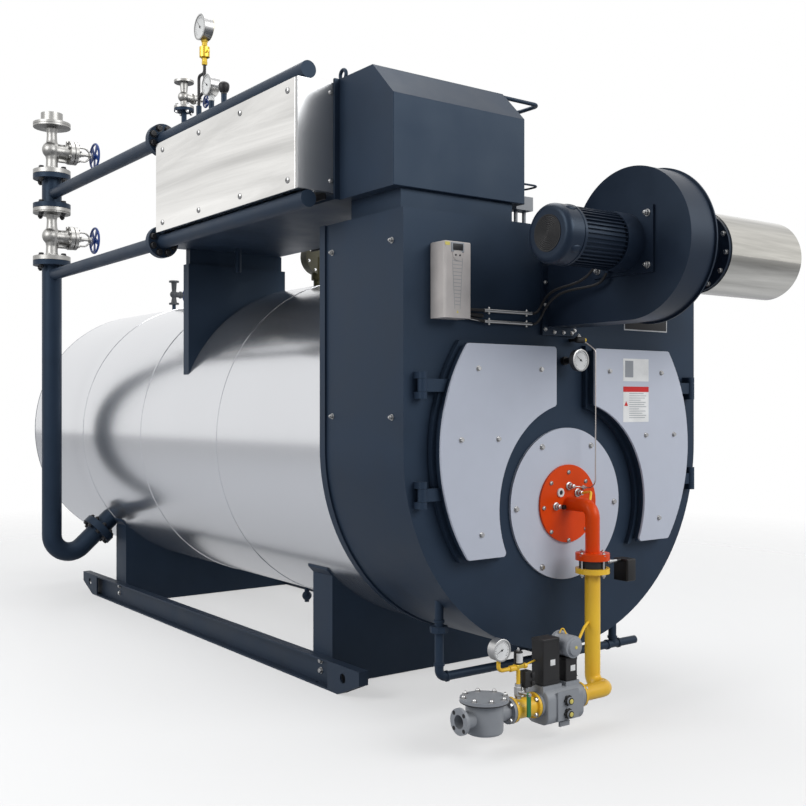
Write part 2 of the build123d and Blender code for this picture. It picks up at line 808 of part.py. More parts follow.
with BuildPart() as upper_handwheel:
    with BuildSketch(side_plane(header_x + yoke_end + wheel_gap)):
        with Locations((front_y + riser_y, upper_valve_axis_z)):
            Circle(wheel_hub_radius)
    extrude(amount=wheel_hub_length)
    with Locations((header_x + wheel_x, front_y + riser_y, upper_valve_axis_z)):
        Torus(wheel_radius, wheel_rim, rotation=along_x)
    with Locations(Location((header_x + wheel_x, front_y + riser_y, upper_valve_axis_z), along_x)):
        with PolarLocations(0, wheel_spokes):
            Box(wheel_radius, 2 * wheel_spoke, wheel_spoke, align=(Align.MIN, Align.CENTER, Align.CENTER))

with BuildPart() as lower_handwheel:
    with Locations((0, 0, -lower_valve_drop)):
        add(upper_handwheel.part)

# Furnace doors
door_front_y = front_y - door_gap


def door_outline(grow):
    # Left leaf seen from the front, grown outwards by this much (negative shrinks it).
    with BuildSketch() as outline:
        with Locations((0, arch_z)):
            Circle(door_outer_radius + grow)
        with Locations((-door_inner_x + grow, door_bottom_z - grow)):
            Rectangle(box_radius, door_top_z - door_bottom_z + 2 * grow, align=(Align.MAX, Align.MIN),
                      mode=Mode.INTERSECT)
        with Locations((0, burner_z)):
            Circle(door_inner_radius - grow, mode=Mode.SUBTRACT)
    return outline.sketch


with BuildPart() as left_door:
    with BuildSketch(front_plane(door_front_y)):
        add(door_outline(door_step))
    extrude(amount=door_base)
    with BuildSketch(front_plane(door_front_y - door_base)):
        add(door_outline(-door_groove))
    extrude(amount=door_mid)
    with BuildSketch(front_plane(door_front_y - door_base - door_mid)):
        add(door_outline(0))
    extrude(amount=door_lip)
    for strap_z in (hinge_upper_z, hinge_lower_z):
        with Locations((-hinge_x, front_y - hinge_y_out, strap_z)):
            Box(strap_reach, strap_thickness, hinge_height - 2 * hinge_lug - 2 * hinge_lift_gap,
                align=(Align.MIN, Align.CENTER, Align.CENTER))
            Cylinder(hinge_lug_radius, hinge_height - 2 * hinge_lug - 2 * hinge_lift_gap)
            Cylinder(hinge_pin_radius + hinge_pin_gap, hinge_height, mode=Mode.SUBTRACT)

with BuildPart() as left_door_panel:
    with BuildSketch(front_plane(door_front_y - door_base - door_mid - door_lip)):
        add(door_outline(0))
    extrude(amount=panel_thickness)
    fillet(left_door_panel.edges().filter_by(Axis.Y), panel_corner)
    fillet(left_door_panel.edges().group_by(Axis.Y)[0], panel_edge)

with BuildPart() as door_hinges:
    for lug_z in (hinge_upper_z, hinge_lower_z):
        with Locations((-hinge_x, front_y - hinge_y_out, lug_z)):
            Cylinder(hinge_pin_radius, hinge_height)
        with Locations((-hinge_x, front_y - hinge_y_out, lug_z + (hinge_height - hinge_lug) * half),
                       (-hinge_x, front_y - hinge_y_out, lug_z - (hinge_height - hinge_lug) * half)):
            Cylinder(hinge_lug_radius, hinge_lug)
        with Locations((-hinge_x, front_y, lug_z + (hinge_height - hinge_lug) * half),
                       (-hinge_x, front_y, lug_z - (hinge_height - hinge_lug) * half)):
            Box(2 * hinge_lug_radius, hinge_y_out, hinge_lug, align=(Align.CENTER, Align.MAX, Align.CENTER))
    mirror(about=Plane.YZ)

with BuildPart() as right_door:
    mirror(left_door.part, about=Plane.YZ)

with BuildPart() as right_door_panel:
    mirror(left_door_panel.part, about=Plane.YZ)

# Burner
flange_back_y = front_y - burner_plate_thickness
elbow_start_y = flange_back_y - burner_flange_thickness
with BuildPart() as burner_plate:
    with BuildSketch(front_plane(front_y)):
        with Locations((0, burner_z)):
            Circle(burner_plate_radius)
    extrude(amount=burner_plate_thickness)

with BuildPart() as burner_head:
    with BuildSketch(front_plane(flange_back_y)):
        with Locations((0, burner_z)):
            Circle(burner_flange_radius)
    extrude(amount=burner_flange_thickness)
    with BuildLine() as elbow_route:
        FilletPolyline((0, elbow_start_y, burner_z), (0, front_y - gas_y, burner_z),
                       (0, front_y - gas_y, gas_joint_top_z - gas_flange_thickness), radius=gas_bend)
    with BuildSketch(front_plane(elbow_start_y)):
        with Locations((0, burner_z)):
            Circle(gas_elbow_radius)
    sweep()
    with Locations((0, front_y - gas_y, damper_top_z)):
        Cylinder(gas_flange_radius, gas_joint_top_z - damper_top_z, align=base_low)

damper_mid_z = (damper_top_z + damper_bottom_z) * half
with BuildPart() as gas_damper:
    with Locations((0, front_y - gas_y, damper_bottom_z)):
        Cylinder(damper_ring_radius, damper_top_z - damper_bottom_z, align=base_low)
    with BuildSketch(side_plane(0)):
        with Locations((front_y - gas_y, damper_mid_z)):
            Circle(damper_shaft_radius)
    extrude(amount=actuator_x)

with BuildPart() as damper_actuator:
    with Locations((actuator_x, front_y - gas_y, actuator_bottom_z)):
        Box(actuator_width, actuator_depth, actuator_top_z - actuator_bottom_z,
            align=(Align.MIN, Align.CENTER, Align.MIN))
    fillet(damper_actuator.edges(), housing_edge)

with BuildPart() as gas_riser:
    with BuildLine() as gas_route:
        FilletPolyline((0, front_y - gas_y, damper_bottom_z - gas_flange_thickness),
                       (0, front_y - gas_y, train_z),
                       (0, front_y - train_y, train_z), (train_flange_x, front_y - train_y, train_z),
                       radius=train_bend)
    with BuildSketch(Plane(origin=(0, front_y - gas_y, damper_bottom_z - gas_flange_thickness),
                           z_dir=(0, 0, -1))):
        Circle(gas_radius)
    sweep()
    with Locations((0, front_y - gas_y, damper_bottom_z - gas_flange_thickness)):
        Cylinder(gas_flange_radius, gas_flange_thickness, align=base_low)
    with BuildSketch(side_plane(train_flange_x - train_flange)):
        with Locations((front_y - train_y, train_z)):
            Circle(train_flange_radius)
    extrude(amount=train_flange)

block_mid_x = (block_left_x + block_right_x) * half
with BuildPart() as gas_block:
    with Locations((block_mid_x, front_y - train_y, block_bottom_z)):
        Box(block_body_length, 2 * block_half_depth, block_shoulder_z - block_bottom_z, align=base_low)
    fillet(gas_block.edges().filter_by(Axis.X), block_round)
    fillet(gas_block.edges(), block_edge)
    with BuildSketch(side_plane(block_left_x)):
        with Locations((front_y - train_y, train_z)):
            Circle(train_flange_radius)
    extrude(amount=block_right_x - block_left_x + train_flange)
    for pad_x, pad_width in ((tall_coil_x, tall_coil_width), (short_coil_x, short_coil_width)):
        with Locations((pad_x, front_y - train_y, train_z)):
            Box(pad_width + 2 * block_edge, tall_coil_depth + 2 * block_edge, block_top_z - train_z,
                align=base_low)
    with Locations((block_mid_x + block_edge, front_y - train_y - block_half_depth, train_z - block_edge)):
        Box(block_plate, block_plate_proud, block_plate, align=(Align.CENTER, Align.MAX, Align.CENTER))
    with BuildSketch(front_plane(front_y - train_y - block_half_depth)):
        with Locations((knob_x, knob_upper_z), (knob_x, knob_lower_z)):
            Circle(knob_radius)
    extrude(amount=knob_length)

with BuildPart() as gas_solenoids:
    with Locations((tall_coil_x, front_y - train_y, block_top_z)):
        Box(tall_coil_width, tall_coil_depth, tall_coil_top_z - block_top_z, align=base_low)
    with Locations((short_coil_x, front_y - train_y, block_top_z)):
        Box(short_coil_width, tall_coil_depth, short_coil_top_z - block_top_z, align=base_low)
    fillet(gas_solenoids.edges(), housing_edge)

with BuildPart() as gas_regulator:
    with Locations((short_coil_x, front_y - train_y, regulator_z)):
        Cylinder(regulator_radius, 2 * regulator_half, rotation=along_y)

ball_valve_right_x = block_left_x
with BuildPart() as gas_ball_valve:
    with BuildSketch(side_plane(ball_valve_left_x)):
        with Locations((front_y - train_y, train_z)):
            Circle(train_flange_radius)
    extrude(amount=train_flange)
    with BuildSketch(side_plane(ball_valve_right_x)):
        with Locations((front_y - train_y, train_z)):
            Circle(train_flange_radius)
    extrude(amount=-train_flange)
    with BuildSketch(side_plane(ball_valve_left_x)):
        with Locations((front_y - train_y, train_z)):
            Circle(ball_body_radius)
    extrude(amount=ball_valve_right_x - ball_valve_left_x)

with BuildPart() as gas_filter:
    with Locations((filter_x, front_y - train_y, filter_bottom_z)):
        Cylinder(filter_radius, filter_top_z - filter_bottom_z, align=base_low)
    fillet(gas_filter.edges().group_by(Axis.Z)[0], filter_foot)
    with Locations((filter_x, front_y - train_y, filter_top_z)):
        Cylinder(filter_cover_radius, filter_cover, align=base_low)
    with BuildSketch(side_plane(filter_inlet_x)):
        with Locations((front_y - train_y, train_z)):
            Circle(filter_neck_radius)
    extrude(amount=ball_valve_left_x - filter_inlet_x)
    with BuildSketch(side_plane(filter_inlet_x)):
        with Locations((front_y - train_y, train_z)):
            Circle(train_flange_radius)
    extrude(amount=train_flange)
    with BuildSketch(side_plane(ball_valve_left_x)):
        with Locations((front_y - train_y, train_z)):
            Circle(train_flange_radius)
    extrude(amount=-train_flange)
    with BuildSketch(side_plane(filter_inlet_x - overrun)):
        with Locations((front_y - train_y, train_z)):
            Circle(filter_bore_radius)
    extrude(amount=filter_x - filter_inlet_x + overrun, mode=Mode.SUBTRACT)

# Gauge line on the gas train
with BuildPart() as gauge_line:
    with Locations((gauge_line_x, front_y - train_y, cock_bottom_z)):
        Cylinder(cock_radius, cock_top_z - cock_bottom_z, align=base_low)
    with Locations((gauge_line_x, front_y - train_y, cock_bottom_z)):
        Cylinder(gauge_line_radius, cock_top_z - train_z, align=(Align.CENTER, Align.CENTER, Align.CENTER))
    with BuildSketch(front_plane(front_y - train_y)):
        with Locations((gauge_line_x, cock_z)):
            Circle(gauge_line_radius)
    extrude(amount=lever_y - train_y - lever_thickness * half - wheel_gap)
    with BuildLine() as gauge_route:
        FilletPolyline((gauge_line_x, front_y - train_y, cock_top_z),
                       (gauge_line_x, front_y - train_y, gauge_line_z),
                       (gauge_x, front_y - train_y, gauge_line_z),
                       (gauge_x, front_y - train_y, gauge_z), radius=2 * gauge_line_radius)
    with BuildSketch(Plane.XY.offset(cock_top_z)):
        with Locations((gauge_line_x, front_y - train_y)):
            Circle(gauge_line_radius)
    sweep()
    with Locations((0, front_y - train_y, train_z)):
        with Locations((ball_valve_left_x, 0, 0)):
            Cylinder(ball_body_radius, 2 * (ball_valve_right_x - ball_valve_left_x), rotation=along_x,
                     mode=Mode.SUBTRACT)
    with Locations((gauge_x, front_y - train_y, gauge_z)):
        Cylinder(gauge_radius, gauge_depth, rotation=along_y)
    with Locations((gauge_line_x, front_y - train_y, gauge_line_z)):
        Cylinder(coil_radius, coil_top_z - gauge_line_z, align=base_low)
    with Locations((switch_x, front_y - train_y, switch_bottom_z)):
        Box(switch_width, switch_width, switch_top_z - switch_bottom_z, align=base_low)
    with Locations((switch_x, front_y - train_y, train_z)):
        Cylinder(gauge_line_radius, switch_bottom_z - train_z, align=base_low)
    with BuildSketch(side_plane(ball_valve_left_x)):
        with Locations((front_y - train_y, train_z)):
            Circle(ball_body_radius)
    extrude(amount=ball_valve_right_x - ball_valve_left_x, mode=Mode.SUBTRACT)

with BuildPart() as cock_lever:
    with Locations((gauge_line_x, front_y - lever_y, cock_z)):
        Box(lever_width, lever_thickness, lever_length, align=(Align.CENTER, Align.CENTER, Align.MAX))
        Cylinder(lever_width * half, lever_thickness, rotation=along_y)

# Front drain pipe
with BuildPart() as front_drain_pipe:
    with BuildLine() as drain_route:
        FilletPolyline((drain_left_x, front_y + drain_y, arch_z), (drain_left_x, front_y + drain_y, drain_z),
                       (drain_end_x, front_y + drain_y, drain_z), radius=drain_bend)
    with BuildSketch(Plane(origin=(drain_left_x, front_y + drain_y, arch_z), z_dir=(0, 0, -1))):
        Circle(drain_radius)
    sweep()
    with Locations((drain_right_x, front_y + drain_y, drain_z)):
        Cylinder(drain_radius, arch_z - drain_z, align=base_low)
    with Locations((drain_left_x, front_y + drain_y, drain_union_z)):
        Cylinder(drain_union_radius, drain_union_height, align=base_low)
    with BuildSketch(front_plane(front_y + drain_y + drain_union_radius + overrun)):
        with Locations((0, arch_z)):
            Circle(box_radius)
    extrude(amount=2 * (drain_union_radius + overrun), mode=Mode.SUBTRACT)

# Fan
scroll_meets_duct_y = front_y - scroll_y + (scroll_radius ** 2 - (scroll_z - duct_top_z) ** 2) ** half
duct_bottom_z = scroll_z - scroll_radius
with BuildPart() as fan_volute:
    with BuildSketch(side_plane(fan_left_x)):
        with BuildLine():
            ThreePointArc((scroll_meets_duct_y, duct_top_z), (front_y - scroll_y - scroll_radius, scroll_z),
                          (front_y - scroll_y, duct_bottom_z))
            Polyline((front_y - scroll_y, duct_bottom_z), (front_y - duct_flange, duct_bottom_z),
                     (front_y - duct_flange, duct_top_z), (scroll_meets_duct_y, duct_top_z))
        make_face()
    extrude(amount=fan_right_x - fan_left_x)
    with BuildSketch(side_plane(fan_right_x - fan_rim_thickness)):
        with Locations((front_y - scroll_y, scroll_z)):
            Circle(scroll_radius + fan_rim)
    extrude(amount=fan_rim_thickness)
    with Locations(((fan_left_x + fan_right_x) * half, front_y, duct_flange_bottom_z)):
        Box(fan_right_x - fan_left_x + 2 * duct_flange_out, duct_flange,
            duct_flange_top_z - duct_flange_bottom_z, align=(Align.CENTER, Align.MAX, Align.MIN))
    with BuildSketch(side_plane(fan_right_x)):
        with Locations((front_y - fan_y, fan_z)):
            Circle(intake_neck_radius)
    extrude(amount=intake_ring_x - fan_right_x)
    with BuildSketch(side_plane(intake_ring_x)):
        with Locations((front_y - fan_y, fan_z)):
            Circle(intake_ring_radius)
    extrude(amount=intake_ring)
    with Locations(((fan_left_x + fan_right_x) * half, front_y, (duct_bottom_z + duct_top_z) * half)):
        Box(fan_right_x - fan_left_x + 2 * duct_flange_out, duct_flange,
            duct_top_z - duct_bottom_z + duct_flange_out, align=(Align.CENTER, Align.MAX, Align.CENTER))


def gland_plane(x, tilt):
    # Section through the motor's axis, looking out along a gland that leans this far from straight down.
    lean = math.radians(tilt)
    return Plane(origin=(x, front_y - fan_y, fan_z), z_dir=(0, math.sin(lean), -math.cos(lean)))


with BuildPart() as motor_cowl:
    with BuildSketch(side_plane(cowl_end_x)):
        with Locations((front_y - fan_y, fan_z)):
            Circle(cowl_radius)
    extrude(amount=cowl_start_x - cowl_end_x)
    fillet(motor_cowl.edges().group_by(Axis.X)[0], cowl_round)

with BuildPart() as fan_motor:
    with Locations((fan_left_x, front_y - fan_y, fan_z)):
        Box(motor_plate, 2 * motor_plate_half_y, 2 * motor_plate_half_z,
            align=(Align.MAX, Align.CENTER, Align.CENTER))
    with BuildSketch(side_plane(motor_front_x)):
        with Locations((front_y - fan_y, fan_z)):
            Circle(motor_shield_radius)
    extrude(amount=fan_left_x - motor_plate - motor_front_x)
    with BuildSketch(side_plane(cowl_start_x)):
        with Locations((front_y - fan_y, fan_z)):
            Circle(motor_body_radius)
            with PolarLocations(0, motor_fins):
                Rectangle(motor_fin_radius, motor_fin, align=(Align.MIN, Align.CENTER))
    extrude(amount=motor_front_x - cowl_start_x)
    for gland_x, gland_tilt in ((upper_gland_x, upper_gland_tilt), (lower_gland_x, lower_gland_tilt)):
        with BuildSketch(gland_plane(gland_x, gland_tilt)):
            Circle(gland_radius)
        extrude(amount=motor_shield_radius + gland_length)
    add(motor_cowl.part)

with BuildPart() as intake_tube:
    with BuildSketch(side_plane(intake_ring_x + intake_ring)):
        with Locations((front_y - fan_y, fan_z)):
            Circle(intake_radius)
            Circle(intake_radius - intake_wall, mode=Mode.SUBTRACT)
    extrude(amount=intake_end_x - intake_ring_x - intake_ring)

# Front fittings
with BuildPart() as inverter_box:
    with BuildSketch(Plane.XY.offset(inverter_bottom_z)):
        with Locations((inverter_left_x, front_y)):
            Rectangle(inverter_width, inverter_depth, align=(Align.MIN, Align.MAX))
    extrude(amount=inverter_top_z - inverter_bottom_z)
    fillet(inverter_box.edges().filter_by(Axis.Z).group_by(Axis.Y)[0], inverter_crown)
    fillet(inverter_box.edges().group_by(Axis.Z)[-1], inverter_edge)

inverter_right_x = inverter_left_x + inverter_width
cable_start_y = front_y - rail_off - rail_tube_radius
with BuildPart() as cable_rails:
    for rail_z, entry_z in ((rail_upper_z, rail_upper_z), (rail_lower_z, cable_entry_z)):
        rail_start = Vector(rail_left_x, cable_start_y, rail_z)
        with BuildSketch(side_plane(rail_left_x)):
            with Locations((cable_start_y, rail_z)):
                Circle(rail_tube_radius)
        extrude(amount=rail_right_x - rail_left_x)
        cable_entry = Vector(inverter_right_x, cable_start_y, entry_z)
        with BuildSketch(Plane(origin=rail_start, z_dir=cable_entry - rail_start)):
            Circle(cable_radius)
        extrude(amount=(cable_entry - rail_start).length + overrun)
        with Locations((rail_left_x + rail_stud_inset, front_y, rail_z),
                       (rail_right_x - rail_stud_inset, front_y, rail_z)):
            Box(2 * rail_stud_radius, rail_off + rail_tube_radius, 2 * rail_stud_radius,
                align=(Align.CENTER, Align.MAX, Align.CENTER))
    with Locations((inverter_right_x, front_y, inverter_bottom_z)):
        Box(inverter_width, inverter_depth, inverter_top_z - inverter_bottom_z,
            align=(Align.MAX, Align.MAX, Align.MIN), mode=Mode.SUBTRACT)


def cable_route(rail_z, gland_x, gland_tilt, between):
    # From the end of the steel tube to the gland under the motor, through points chosen by hand.
    outward = gland_plane(gland_x, gland_tilt).z_dir
    gland_end = Vector(gland_x, front_y - fan_y, fan_z) + outward * (motor_shield_radius + gland_length)
    start = Vector(rail_right_x, cable_start_y, rail_z)
    middle = [Vector(x, front_y + y, z) for x, y, z in between]
    return [start, start + Vector(cable_lead, 0, 0), *middle, gland_end + outward * gland_lead, gland_end]


def cable_radii(points):
    # The largest arc that the two runs beside each corner leave room for.
    radii = []
    for before, corner, after in zip(points, points[1:], points[2:]):
        turn = math.radians((corner - before).get_angle(after - corner))
        shorter = min((corner - before).length, (after - corner).length)
        radii.append(cable_arc_share * shorter / math.tan(turn * half))
    return radii


upper_cable_points = cable_route(rail_upper_z, upper_gland_x, upper_gland_tilt, [
    (-165, -34, 1592), (-170, -62, 1622), (-178, -104, 1644), (-180, -155, 1655),
    (-176, -210, 1662), (-173, -257, 1673)])
lower_cable_points = cable_route(rail_lower_z, lower_gland_x, lower_gland_tilt, [
    (-163, -34, 1552), (-168, -60, 1584), (-171, -100, 1616), (-166, -148, 1638),
    (-158, -200, 1646), (-150, -254, 1650), (-141, -298, 1656)])
for cable_points in (upper_cable_points, lower_cable_points):
    print("cable radii:", [round(radius) for radius in cable_radii(cable_points)])

with BuildPart() as upper_motor_cable:
    with BuildLine():
        FilletPolyline(*upper_cable_points, radius=cable_radii(upper_cable_points))
    with BuildSketch(side_plane(rail_right_x)):
        with Locations((cable_start_y, rail_upper_z)):
            Circle(cable_radius)
    sweep()

with BuildPart() as lower_motor_cable:
    with BuildLine():
        FilletPolyline(*lower_cable_points, radius=cable_radii(lower_cable_points))
    with BuildSketch(side_plane(rail_right_x)):
        with Locations((cable_start_y, rail_lower_z)):
            Circle(cable_radius)
    sweep()
for cable, cable_points in ((upper_motor_cable, upper_cable_points), (lower_motor_cable, lower_cable_points)):
    print("cable length:", round(cable.part.volume / (math.pi * cable_radius ** 2)))

with BuildPart() as thermometer:
    with BuildSketch(front_plane(front_y)):
        with Locations((dial_x, dial_z)):
            Circle(dial_stem_radius)
    extrude(amount=dial_front - dial_depth)
    with BuildSketch(front_plane(front_y - dial_front + dial_depth)):
        with Locations((dial_x, dial_z)):
            Circle(dial_radius)
    extrude(amount=dial_depth)

with BuildPart() as junction_box:
    with Locations((junction_left_x, front_y + junction_y, junction_bottom_z)):
        Box(junction_width, junction_depth, junction_top_z - junction_bottom_z,
            align=(Align.MIN, Align.CENTER, Align.MIN))
    junction_leg_inset = junction_width * half * half
    with Locations((junction_left_x + junction_leg_inset, front_y + junction_y, box_top_z),
                   (junction_left_x + junction_width - junction_leg_inset, front_y + junction_y, box_top_z)):
        Cylinder(junction_tube_radius, junction_bottom_z - box_top_z, align=base_low)

# Fittings on the upper header
with BuildPart() as vent_valve:
    with Locations((header_x, front_y + vent_valve_y, vent_flange_z + vent_flange)):
        Cylinder(vent_flange_radius, vent_flange, align=base_low)
        Cylinder(vent_stub_radius, vent_top_z - vent_flange_z - vent_flange, align=base_low)
    with Locations((header_x, front_y + vent_valve_y, vent_top_z - vent_flange)):
        Cylinder(vent_flange_radius, vent_flange, align=base_low)
    with Locations((header_x, front_y + vent_valve_y, vent_axis_z)):
        Sphere(vent_body_radius)
    with BuildSketch(side_plane(header_x)):
        with Locations((front_y + vent_valve_y, vent_axis_z)):
            Circle(vent_body_radius - yoke_rod)
    extrude(amount=vent_wheel_x - 4 * wheel_spoke - wheel_gap)

with BuildPart() as vent_handwheel:
    with BuildSketch(side_plane(header_x + vent_wheel_x - 4 * wheel_spoke)):
        with Locations((front_y + vent_valve_y, vent_axis_z)):
            Circle(2 * wheel_spoke)
    extrude(amount=5 * wheel_spoke)
    with Locations((header_x + vent_wheel_x, front_y + vent_valve_y, vent_axis_z)):
        Torus(vent_wheel_radius, vent_wheel_rim, rotation=along_x)
    with Locations(Location((header_x + vent_wheel_x, front_y + vent_valve_y, vent_axis_z), along_x)):
        with PolarLocations(0, wheel_spokes):
            Box(vent_wheel_radius, wheel_spoke, wheel_spoke, align=(Align.MIN, Align.CENTER, Align.CENTER))

with BuildPart() as gauge_stand:
    with BuildLine() as siphon_route:
        FilletPolyline((header_x, front_y + stand_y, stand_top_z),
                       (header_x, front_y + stand_y, siphon_turn_z),
                       (header_x, front_y + stand_cock_y, siphon_turn_z),
                       (header_x, front_y + stand_cock_y, stand_cock_z), radius=siphon_loop * half)
    with BuildSketch(Plane.XY.offset(stand_top_z)):
        with Locations((header_x, front_y + stand_y)):
            Circle(siphon_radius)
    sweep()
    with Locations((header_x, front_y + stand_cock_y, stand_cock_z)):
        Cylinder(stand_cock_radius, stand_cock_top_z - stand_cock_z, align=base_low)
    with Locations((header_x, front_y + stand_cock_y, (stand_cock_z + stand_cock_top_z) * half)):
        Sphere(2 * stand_cock_radius)
    with Locations((header_x, front_y + stand_cock_y, stand_gauge_z)):
        Cylinder(stand_gauge_radius, stand_gauge_depth, rotation=along_x)

with BuildPart() as second_gauge:
    with Locations((header_x, front_y + second_gauge_y, second_gauge_z)):
        Cylinder(second_gauge_radius, stand_gauge_depth, rotation=along_x)
    with Locations((header_x, front_y + second_gauge_y, stand_top_z)):
        Cylinder(stand_cock_radius, second_gauge_z - stand_top_z, align=base_low)

# Fittings on the shell
with BuildPart() as shell_top_valve:
    with Locations((0, front_y + top_valve_y, arch_z)):
        Cylinder(vent_stub_radius, top_valve_stub_z - arch_z, align=base_low)
    with Locations((0, front_y + top_valve_y, top_valve_stub_z)):
        Cylinder(top_valve_flange_radius, 2 * vent_flange, align=base_low)
        Cylinder(vent_stub_radius, top_valve_top_z - top_valve_stub_z, align=base_low)
    with Locations((0, front_y + top_valve_y, top_valve_axis_z)):
        Sphere(vent_body_radius)
    with Locations((0, front_y + top_valve_y, top_valve_top_z)):
        Cylinder(top_valve_flange_radius, vent_flange, align=base_low)
    with BuildSketch(side_plane(0)):
        with Locations((front_y + top_valve_y, top_valve_axis_z)):
            Circle(vent_body_radius - yoke_rod)
    extrude(amount=top_valve_wheel_x - 4 * wheel_spoke - wheel_gap)
    with Locations((0, front_y + top_valve_y, arch_z)):
        Cylinder(shell_radius, 4 * top_valve_flange_radius, rotation=along_y, mode=Mode.SUBTRACT)

with BuildPart() as shell_top_handwheel:
    with BuildSketch(side_plane(top_valve_wheel_x - 4 * wheel_spoke)):
        with Locations((front_y + top_valve_y, top_valve_axis_z)):
            Circle(2 * wheel_spoke)
    extrude(amount=5 * wheel_spoke)
    with Locations((top_valve_wheel_x, front_y + top_valve_y, top_valve_axis_z)):
        Torus(top_valve_wheel_radius, vent_wheel_rim, rotation=along_x)
    with Locations(Location((top_valve_wheel_x, front_y + top_valve_y, top_valve_axis_z), along_x)):
        with PolarLocations(0, wheel_spokes):
            Box(top_valve_wheel_radius, wheel_spoke, wheel_spoke,
                align=(Align.MIN, Align.CENTER, Align.CENTER))

with BuildPart() as shell_port:
    with Locations((0, front_y + port_y, arch_z)):
        Cylinder(vent_body_radius, port_z - arch_z, align=base_low)
    with Locations((0, front_y + port_y, port_neck_z)):
        Cylinder(port_neck_radius, port_z - port_neck_z, align=base_low)
    with Locations((0, front_y + port_y, port_z)):
        Cylinder(port_radius, port_thickness, rotation=along_y)
    with Locations((0, front_y + port_y, arch_z)):
        Cylinder(shell_radius, 4 * port_radius, rotation=along_y, mode=Mode.SUBTRACT)

with BuildPart() as shell_drain_valve:
    with Locations((0, front_y + drain_valve_y, drain_valve_low_z)):
        Cylinder(drain_valve_radius, arch_z - drain_valve_low_z, align=base_low)
    with Locations((0, front_y + drain_valve_y, drain_valve_low_z + drain_union_radius)):
        Sphere(2 * drain_valve_radius)
    with Locations((0, front_y + drain_valve_y, arch_z)):
        Cylinder(shell_radius, 8 * drain_valve_radius, rotation=along_y, mode=Mode.SUBTRACT)

parts = {
    "smoke_box_front": smoke_box_front, "smoke_box_casing": smoke_box_casing,
    "shell_casing": shell_casing, "rear_end_plate": rear_end_plate,
    "saddles": saddles,
    "left_skid_beam": left_skid_beam, "right_skid_beam": right_skid_beam,
    "economizer_hood": economizer_hood, "economizer_body": economizer_body,
    "left_coil_cover": left_coil_cover, "right_coil_cover": right_coil_cover,
    "economizer_support": economizer_support,
    "upper_header": upper_header, "lower_header": lower_header,
    "upper_branch_pipe": upper_branch_pipe, "lower_branch_pipe": lower_branch_pipe,
    "riser_spool": riser_spool, "riser_pipe": riser_pipe, "outlet_cap": outlet_cap,
    "shell_nozzle": shell_nozzle,
    "upper_valve": upper_valve, "lower_valve": lower_valve,
    "upper_handwheel": upper_handwheel, "lower_handwheel": lower_handwheel,
    "left_door": left_door, "right_door": right_door,
    "left_door_panel": left_door_panel, "right_door_panel": right_door_panel,
    "door_hinges": door_hinges,
    "burner_plate": burner_plate, "burner_head": burner_head,
    "gas_damper": gas_damper, "damper_actuator": damper_actuator, "gas_riser": gas_riser,
    "gas_block": gas_block, "gas_solenoids": gas_solenoids,
    "gas_regulator": gas_regulator, "gas_ball_valve": gas_ball_valve, "gas_filter": gas_filter,
    "gauge_line": gauge_line, "cock_lever": cock_lever, "front_drain_pipe": front_drain_pipe,
    "fan_volute": fan_volute, "fan_motor": fan_motor, "intake_tube": intake_tube,
    "inverter_box": inverter_box, "cable_rails": cable_rails, "thermometer": thermometer,
    "upper_motor_cable": upper_motor_cable, "lower_motor_cable": lower_motor_cable,
    "gauge_stand": gauge_stand, "second_gauge": second_gauge,
    "vent_valve": vent_valve, "vent_handwheel": vent_handwheel,
    "shell_top_valve": shell_top_valve, "shell_top_handwheel": shell_top_handwheel,
    "shell_port": shell_port, "shell_drain_valve": shell_drain_valve, "junction_box": junction_box,
}
for part_name, part_build in parts.items():
    part_build.part.label = part_name
    export_step(part_build.part, "parts/" + part_name + ".step")
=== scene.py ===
# %% [markdown]
# # A packaged industrial boiler
# The object is a horizontal fire-tube boiler: a bright clad shell on a channel skid, a dark smoke box with
# two light doors, an orange burner head with a yellow gas line, a fan, an economizer on top and a riser with
# two valves. The CAD model already holds the true shapes and sizes, so this file adds finishes, small
# fittings and light.

import math

import bpy
from mathutils import Matrix, Vector


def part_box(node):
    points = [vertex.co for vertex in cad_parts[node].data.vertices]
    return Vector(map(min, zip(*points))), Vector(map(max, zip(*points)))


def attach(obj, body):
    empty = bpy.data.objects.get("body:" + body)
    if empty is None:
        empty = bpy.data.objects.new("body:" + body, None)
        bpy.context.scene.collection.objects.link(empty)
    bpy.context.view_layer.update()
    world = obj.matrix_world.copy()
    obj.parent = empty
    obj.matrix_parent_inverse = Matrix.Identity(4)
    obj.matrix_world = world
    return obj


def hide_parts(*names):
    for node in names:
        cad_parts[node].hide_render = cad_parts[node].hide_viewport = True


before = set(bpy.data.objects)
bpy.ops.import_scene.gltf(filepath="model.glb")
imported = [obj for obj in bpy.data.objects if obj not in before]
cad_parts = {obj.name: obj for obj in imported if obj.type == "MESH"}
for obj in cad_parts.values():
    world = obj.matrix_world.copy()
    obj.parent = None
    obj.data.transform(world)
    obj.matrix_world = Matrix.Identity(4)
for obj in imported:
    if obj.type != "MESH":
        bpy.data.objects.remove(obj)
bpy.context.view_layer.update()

# %% [markdown]
# ## Places taken from the CAD model
# Everything sits on something that the CAD model holds. The smoke box's front face is the plane that most of
# the front fittings stand on, so places are measured from it: x to the right, y from that face and z from
# the floor, all in millimetres. A negative y lies in front of the face.

# %% Driving places
mm = 0.001
up, down = Vector((0, 0, 1)), Vector((0, 0, -1))
left, right = Vector((-1, 0, 0)), Vector((1, 0, 0))
ahead, behind = Vector((0, -1, 0)), Vector((0, 1, 0))
front_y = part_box("smoke_box_front")[0][1]


def at(x, y, z):
    """A place in metres from millimetres, for a piece that is made round the origin."""
    return Vector((x, y, z)) * mm


